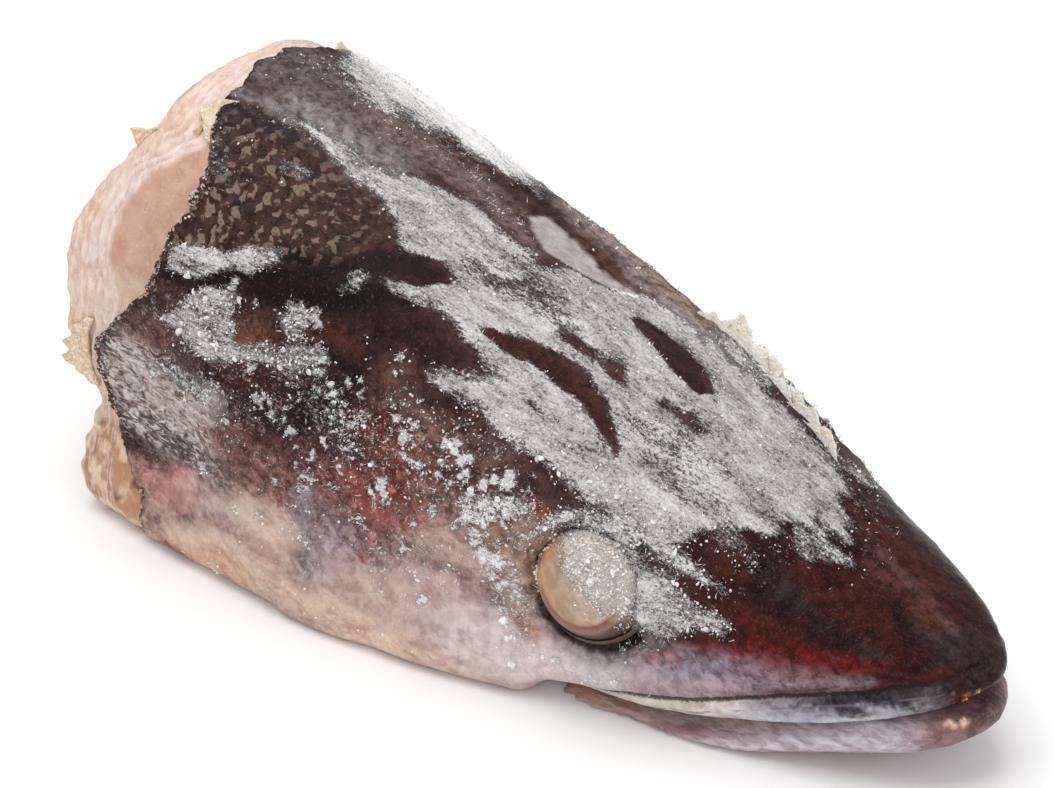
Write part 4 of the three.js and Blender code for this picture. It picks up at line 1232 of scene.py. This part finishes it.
class HAKE_OT_eyes(bpy.types.Operator):
    """Both clouded eyes, furred with frost on their upper side"""

    bl_idname = "hake.eyes"
    bl_label = "Eyes"

    def execute(self, context):
        material = clouded_eye()
        for node in ("eye_right", "eye_left"):
            mesh = fine_copy(node, 0.5, 8)
            points, normals = read_points(mesh), read_normals(mesh)
            along, upward, out = round_eye(node, points)
            reach = np.hypot(along, upward)
            down = ease(-0.1, -0.75, upward / np.maximum(reach, 1))
            patch = upward * 0.75 + along * 0.75 + 2.2 * lumps(points, 5, 71) + 0.8 * lumps(points, 2, 72)
            frost = ease(-3.5, 2.5, patch) * 0.95
            edge = ease(11.5, 13.5, reach + 0.8 * lumps(points, 2.5, 73)) * (1 - down)
            frost = np.maximum(frost, edge * 0.8) * ease(0.7, 0.3, down * ease(8, 10, reach))
            colour = mix(rgb("#a98d74"), rgb("#c1b1a1"), ease(-8, 4, patch)[:, None])
            colour = mix(
                colour, rgb("#b7855c"), (0.8 * bump(reach, 11, 3) * ease(-2, -8, along))[:, None])
            band = ease(9.8, 10.6, reach + 0.3 * lumps(points, 3, 74)) * down
            colour = mix(colour, rgb("#7d6a5c"), band[:, None])
            colour = mix(colour, rgb("#8c3a26"), (0.9 * bump(reach, 10, 0.5) * down)[:, None])
            ahead = ease(0.3, 0.9, along / np.maximum(reach, 1))
            # painted shadow: a dark band along the eye's lower edge, where it meets the socket
            colour = mix(colour, rgb("#4a382f"), (0.9 * ease(11, 11.8, reach) * down)[:, None])
            frost = np.maximum(frost * (1 - down * ease(10.6, 11.4, reach)), 0.9 * ahead * (1 - down))
            colour = mix(
                colour, rgb("#5a5046"),
                (0.5 * bump(along + 5, 0, 1.6) * bump(upward - 2, 0, 2.5))[:, None])
            lift = 0.25 * frost * (1 + lumps(points, 1.3, 75, 2)) - 0.3 * bump(reach, 10.1, 0.5) * down
            lift -= 1.2 * ease(11, 14.2, reach)
            sunk = (0.6 + 1.6 * np.maximum(ahead, down)) * ease(10.6, 14.6, reach) * (out > 0)
            write_points(mesh, points + normals * lift[:, None] - sunk[:, None] * eye_axes(node)[3])
            outer = ease(9, 13, reach) * (1 - down) * ease(-0.4, 0.4, lumps(points, 4, 76))
            BASE[node] = (read_points(mesh), normals, frost * (0.25 + outer) * (out > 0))
            write_layer(mesh, "paint", colour.T)
            write_layer(mesh, "cover", (frost, frost * 0.6))
            shade_smooth(mesh)
            wear(add_piece(node + "_ball", mesh, (node,)), material)
        return {"FINISHED"}


# Torn pieces: colour, thickness, curl away from the head, both sides, and marks along the root as
# (station, degrees, reach of the torn end in millimetres).
SHREDS = [
    ("#e6d0b8", 0.5, 0.35, True, [
        (205, -15, 1.5), (207, -18, 3.5), (208, -21, 4), (208, -24, 3), (206, -27, 1.5)]),
    ("#d9ae88", 0.6, 0.6, True, [(210, -20, 1), (211, -23, 3), (211, -26, 1.5)]),
    ("#e0c0a2", 0.9, 0.8, True, [(223, -28, 1), (225, -30.5, 3.5), (226, -33, 1.5)]),
    ("#e2c9a9", 0.9, 0.05, True, [
        (230, -82, 1.5), (232, -88, 4), (232, -94, 7), (231, -100, 7.5), (229, -104, 2)]),
    ("#e0c5a6", 0.7, 0.2, True, [(214, -110, 1), (218, -106, 2), (224, -100, 2), (229, -94, 1.5)]),
    ("#33221b", 0.25, 0.15, True, [
        (207, -18, 1), (204, -25, 3), (201, -32, 2.4), (200.5, -38, 3), (202.5, -45, 2.4),
        (204.5, -54, 2.6), (206, -61, 2), (212, -69, 1)]),
    ("#33221b", 0.25, 0.3, True, [
        (213, -70, 1), (219, -78, 2.2), (225, -86, 2.6), (226, -94, 2), (221, -104, 2), (218, -112, 1)]),
    ("#4a2c1f", 0.4, 0.4, True, [(203, -47, 0.8), (205, -54, 1.4), (207, -61, 1.6), (210, -66, 0.8)]),
    ("#c9a184", 0.5, 0.8, False, [(2.6, -128, 0.5), (3.4, -136, 2.2), (4.4, -143, 2), (5.6, -148, 0.6)]),
    ("#8c3a2c", 0.5, 0.6, False, [(4.5, -126, 0.4), (5.5, -133, 1.6), (6.5, -139, 0.5)]),
    ("#f7f1ea", 0.3, 2.2, False, [
        (104, 35, 1), (100, 37.5, 3.5), (95, 40, 5.5), (90, 42, 5), (85, 42.5, 2.5), (81, 43, 4)]),
    ("#f7f1ea", 0.3, 1.5, False, [
        (98, 39, 1), (93, 42, 4.5), (88, 43.5, 3), (80, 44.5, 5.5), (74, 44.5, 4), (70, 44, 1)]),
    ("#f7f1ea", 0.3, 1.8, False, [(76, 41, 1), (72, 42.5, 4), (68, 43, 5), (64, 43, 3.5), (60, 42, 1)]),
    ("#f7f1ea", 0.3, 2.6, False, [(70, 40, 0.5), (66, 41, 3), (62, 41, 3.5), (57, 40, 0.8)]),
    ("#f7f1ea", 0.25, 3.0, False, [(88, 39.5, 0.5), (84, 41, 3.5), (79, 42, 4.5), (75, 42, 1)]),
]


class HAKE_OT_shreds(bpy.types.Operator):
    """Torn flaps of skin and membrane along the cut, at the mouth and on the far brow"""

    bl_idname = "hake.shreds"
    bl_label = "Torn shreds"

    def execute(self, context):
        _, surface = head_base()
        whole = bmesh.new()
        tint = whole.verts.layers.float_color.new("paint")
        for number, (code, thickness, curl, both, marks) in enumerate(SHREDS):
            for path in (marks, mirrored(marks))[:1 + both]:
                self.flap(whole, tint, surface, number, linear(code), thickness, curl, path)
        mesh = bpy.data.meshes.new("torn_shreds")
        bmesh.ops.recalc_face_normals(whole, faces=whole.faces)
        whole.to_mesh(mesh)
        whole.free()
        shade_smooth(mesh)
        wear(add_piece("torn_shreds", mesh), torn_membrane())
        points = read_points(mesh)
        station, _ = head_places(points)
        BASE["flakes"] = (points, read_normals(mesh), 0.9 * (station < 110) * (station > 50))
        return {"FINISHED"}

    def flap(self, whole, tint, surface, number, colour, thickness, curl, marks):
        """One torn sheet: rooted under the surface, it leans back and curls away."""
        roots = np.array(marks, float)
        length = np.hypot(*np.diff(roots[:, :2], axis=0).T).sum()
        across, back = max(8, int(length / 0.6)), 6
        seed = 90 + number * 2 + (marks[0][1] > 0)
        sheet = bmesh.new()
        bmesh.ops.create_grid(sheet, x_segments=across, y_segments=back, size=1)
        for vert in sheet.verts:
            t, r = (vert.co.x + 1) / 2, (vert.co.y + 1) / 2
            station, degrees, reach = (
                np.interp(t, np.linspace(0, 1, len(roots)), roots[:, i])
                for i in range(3))
            spot, normal = surface.find(float(station), float(degrees))
            wave = float(lumps(np.array([[t * length, r * 2, number * 9.0]]), 2.5, seed)[0])
            notch = float(lumps(np.array([[t * length, 0, number * 9.0]]), 3.5, seed + 1, 4)[0])
            reach = reach * (1 + 0.75 * notch)
            away = np.array([-1.0, 0, 0]) + normal * curl * (0.4 + r)
            spot = (
                spot - normal * 0.6 + away / np.linalg.norm(away) * r * reach
                + normal * (0.5 * wave * r + 0.3))
            vert.co = Vector(spot * MM)
            vert.co.z = max(vert.co.z, 0.0002)
        bmesh.ops.recalc_face_normals(sheet, faces=sheet.faces)
        bmesh.ops.solidify(
            sheet, geom=sheet.verts[:] + sheet.edges[:] + sheet.faces[:], thickness=thickness * MM)
        bmesh.ops.smooth_vert(
            sheet, verts=sheet.verts, factor=0.3, use_axis_x=True, use_axis_y=True, use_axis_z=True)
        part = bpy.data.meshes.new("shred")
        sheet.to_mesh(part)
        sheet.free()
        first = len(whole.verts)
        whole.from_mesh(part)
        whole.verts.ensure_lookup_table()
        for vert in whole.verts[first:]:
            vert[tint] = colour
        bpy.data.meshes.remove(part)


def crystal_shapes(kind, generator, count):
    """A few small closed crystals of one kind, about one unit across."""
    shapes = []
    for _ in range(count):
        made = bmesh.new()
        if kind == "needle":
            bmesh.ops.create_cone(made, cap_ends=True, segments=4, radius1=0.09, radius2=0.02, depth=1)
        else:
            bmesh.ops.create_icosphere(made, subdivisions=1, radius=0.5)
        for vert in made.verts:
            vert.co *= 1 + generator.uniform(-0.28, 0.28)
            vert.co.y *= 0.4 if kind == "lump" else 1
        mesh = bpy.data.meshes.new("crystal")
        made.to_mesh(mesh)
        made.free()
        corners = np.zeros(len(mesh.vertices) * 3)
        mesh.vertices.foreach_get("co", corners)
        shapes.append((mesh, corners.reshape(-1, 3)))
    return shapes


def scatter(name, kind, generator, spots, normals, sizes, tilt):
    """Sets one crystal on every spot and joins them in one mesh."""
    shapes = crystal_shapes(kind, generator, 12)
    whole = bmesh.new()
    for spot, normal, size in zip(spots, normals, sizes):
        mesh, corners = shapes[generator.integers(len(shapes))]
        axis = Vector(normal + generator.normal(0, tilt, 3)).normalized()
        spin = Matrix.Rotation(generator.uniform(0, 6.28), 3, "Z")
        turn = axis.to_track_quat("Z", "Y").to_matrix() @ spin
        sunk = 0.35 if kind == "needle" else 0.1
        placed = corners @ np.array(turn.transposed()) * size + spot + np.array(axis) * size * sunk
        mesh.vertices.foreach_set("co", (placed * MM).astype(np.float32).ravel())
        whole.from_mesh(mesh)
    for mesh, _ in shapes:
        bpy.data.meshes.remove(mesh)
    mesh = bpy.data.meshes.new(name)
    whole.to_mesh(mesh)
    whole.free()
    return add_piece(name, mesh)


class HAKE_OT_frost(bpy.types.Operator):
    """Loose frost: grains, needles and small lumps of ice on the skin"""

    bl_idname = "hake.frost"
    bl_label = "Frost crystals"

    def execute(self, context):
        settings = context.scene.hake_head
        generator = np.random.default_rng(11)
        points, normals, frost, dust, behind = BASE["bed"]
        for node in ("eye_right", "eye_left", "flakes"):
            spots, facing, fur = BASE[node]
            points, normals = np.vstack((points, spots)), np.vstack((normals, facing))
            frost, dust = np.append(frost, fur * 2.5), np.append(dust, fur * 0)
            behind = np.append(behind, fur * 0 - 5)
        clusters = ease(-0.1, 0.8, lumps(points, 2.5, 81))
        turned = np.abs(head_places(points)[1])
        low = ease(42, 52, turned) * ease(130, 118, turned)
        thick = np.minimum(frost * low * 2.2 + frost * 0.28, 1.5)
        bare = (behind < -1) & (points[:, 2] > 1.5)
        kinds = (
            (
                "frost_grains", "grain", settings.grains, (thick + dust * clusters * 1.4) * bare,
                (0.25, 0.8), 0.6),
            (
                "frost_needles", "needle", settings.needles, (thick + dust * clusters) * bare,
                (0.5, 1.15), 0.7),
            (
                "ice_lumps", "lump", settings.lumps, (thick ** 2 + (dust * clusters) ** 2) * bare * low,
                (0.6, 1.75), 0.8))
        material = ice_crystals(settings.ice_colour)
        for name, kind, count, weight, sizes, tilt in kinds:
            chosen = generator.choice(len(points), count, p=weight / weight.sum())
            jitter = generator.uniform(-0.45, 0.45, (count, 3))
            size = generator.uniform(*sizes, count) ** 1.5
            wear(
                scatter(name, kind, generator, points[chosen] + jitter, normals[chosen], size, tilt),
                material)
        return {"FINISHED"}


class HAKE_OT_stage(bpy.types.Operator):
    """Pale table, soft studio light and the camera"""

    bl_idname = "hake.stage"
    bl_label = "Table, light and camera"

    def execute(self, context):
        table = bmesh.new()
        bmesh.ops.create_grid(table, x_segments=1, y_segments=1, size=4)
        mesh = bpy.data.meshes.new("table")
        table.to_mesh(mesh)
        table.free()
        mesh.materials.append(table_top())
        floor = bpy.data.objects.new("table", mesh)
        context.scene.collection.objects.link(floor)

        world = bpy.data.worlds.new("studio")
        world.use_nodes = True
        surround = world.node_tree.nodes["Background"].inputs
        surround["Color"].default_value = (1, 1, 1, 1)
        surround["Strength"].default_value = 0.66
        context.scene.world = world
        context.scene.view_settings.view_transform = "Standard"
        for name, place, size, power in (
            ("overhead", (-0.1, -0.15, 1.2), 0.9, 8),
            ("front_fill", (0.9, -1.1, 0.7), 0.8, 4),
        ):
            lamp = bpy.data.lights.new(name, "AREA")
            lamp.size = size
            lamp.energy = power
            holder = bpy.data.objects.new(name, lamp)
            holder.location = place
            holder.rotation_euler = (-Vector(place)).to_track_quat("-Z", "Y").to_euler()
            context.scene.collection.objects.link(holder)

        turn, rise = math.radians(40), math.radians(30)
        back = Vector((math.sin(turn) * math.cos(rise), -math.cos(turn) * math.cos(rise), math.sin(rise)))
        right = Vector((math.cos(turn), math.sin(turn), 0))
        up = right.cross(-back)
        distance, scale = 900, 4.3
        aim = Vector((SNOUT_X - 125, 0, 45)) - right * 6.4 + up * 5.9
        lens = bpy.data.cameras.new("camera")
        lens.sensor_width = 36
        lens.lens = scale * distance / PHOTO_WIDTH * lens.sensor_width
        camera = bpy.data.objects.new("camera", lens)
        camera.location = (aim + back * distance) * MM
        camera.rotation_euler = (-back).to_track_quat("-Z", "Y").to_euler()
        context.scene.collection.objects.link(camera)
        context.scene.camera = camera
        return {"FINISHED"}


# ---- Add-on -------------------------------------------------------------------------------------


class HakeHeadSettings(bpy.types.PropertyGroup):
    """Sizes and colours of the head that a user may change"""

    skin_mesh: FloatProperty(
        name="Skin mesh", description="Spacing of the skin's mesh, mm", default=0.9, min=0.6, max=4)
    frost_depth: FloatProperty(
        name="Frost depth", description="Thickness of the frost crust, mm", default=0.7, min=0, max=2)
    grains: IntProperty(
        name="Grains", description="Number of frost grains", default=9500, min=1, max=9900)
    needles: IntProperty(
        name="Needles", description="Number of frost needles", default=16000, min=1, max=30000)
    lumps: IntProperty(
        name="Lumps", description="Number of small lumps of ice", default=520, min=1, max=2400)
    ice_colour: FloatVectorProperty(
        name="Ice colour", description="Colour of the brightest crystals of frost and ice", size=4,
        subtype="COLOR", min=0, max=1, default=linear("#f3f1ef"))


class HAKE_PT_panel(bpy.types.Panel):
    """Lists the head's settings and pieces"""

    bl_idname = "HAKE_PT_panel"
    bl_label = "Hake head"
    bl_space_type = "VIEW_3D"
    bl_region_type = "UI"
    bl_category = "Hake head"

    def draw(self, context):
        settings = context.scene.hake_head
        for name in settings.__annotations__:
            self.layout.prop(settings, name)
        for operator in PIECES:
            self.layout.operator(operator.bl_idname)


PIECES = (HAKE_OT_stage, HAKE_OT_head_skin, HAKE_OT_nape_flesh, HAKE_OT_lower_jaw, HAKE_OT_eyes,
          HAKE_OT_shreds, HAKE_OT_frost)
CLASSES = (HakeHeadSettings, *PIECES, HAKE_PT_panel)


def register():
    for made in CLASSES:
        bpy.utils.register_class(made)
    bpy.types.Scene.hake_head = PointerProperty(type=HakeHeadSettings)


def unregister():
    del bpy.types.Scene.hake_head
    for made in reversed(CLASSES):
        bpy.utils.unregister_class(made)


def main():
    register()
    for operator in PIECES:
        group, name = operator.bl_idname.split(".")
        getattr(getattr(bpy.ops, group), name)()


if __name__ == "__main__":
    main()
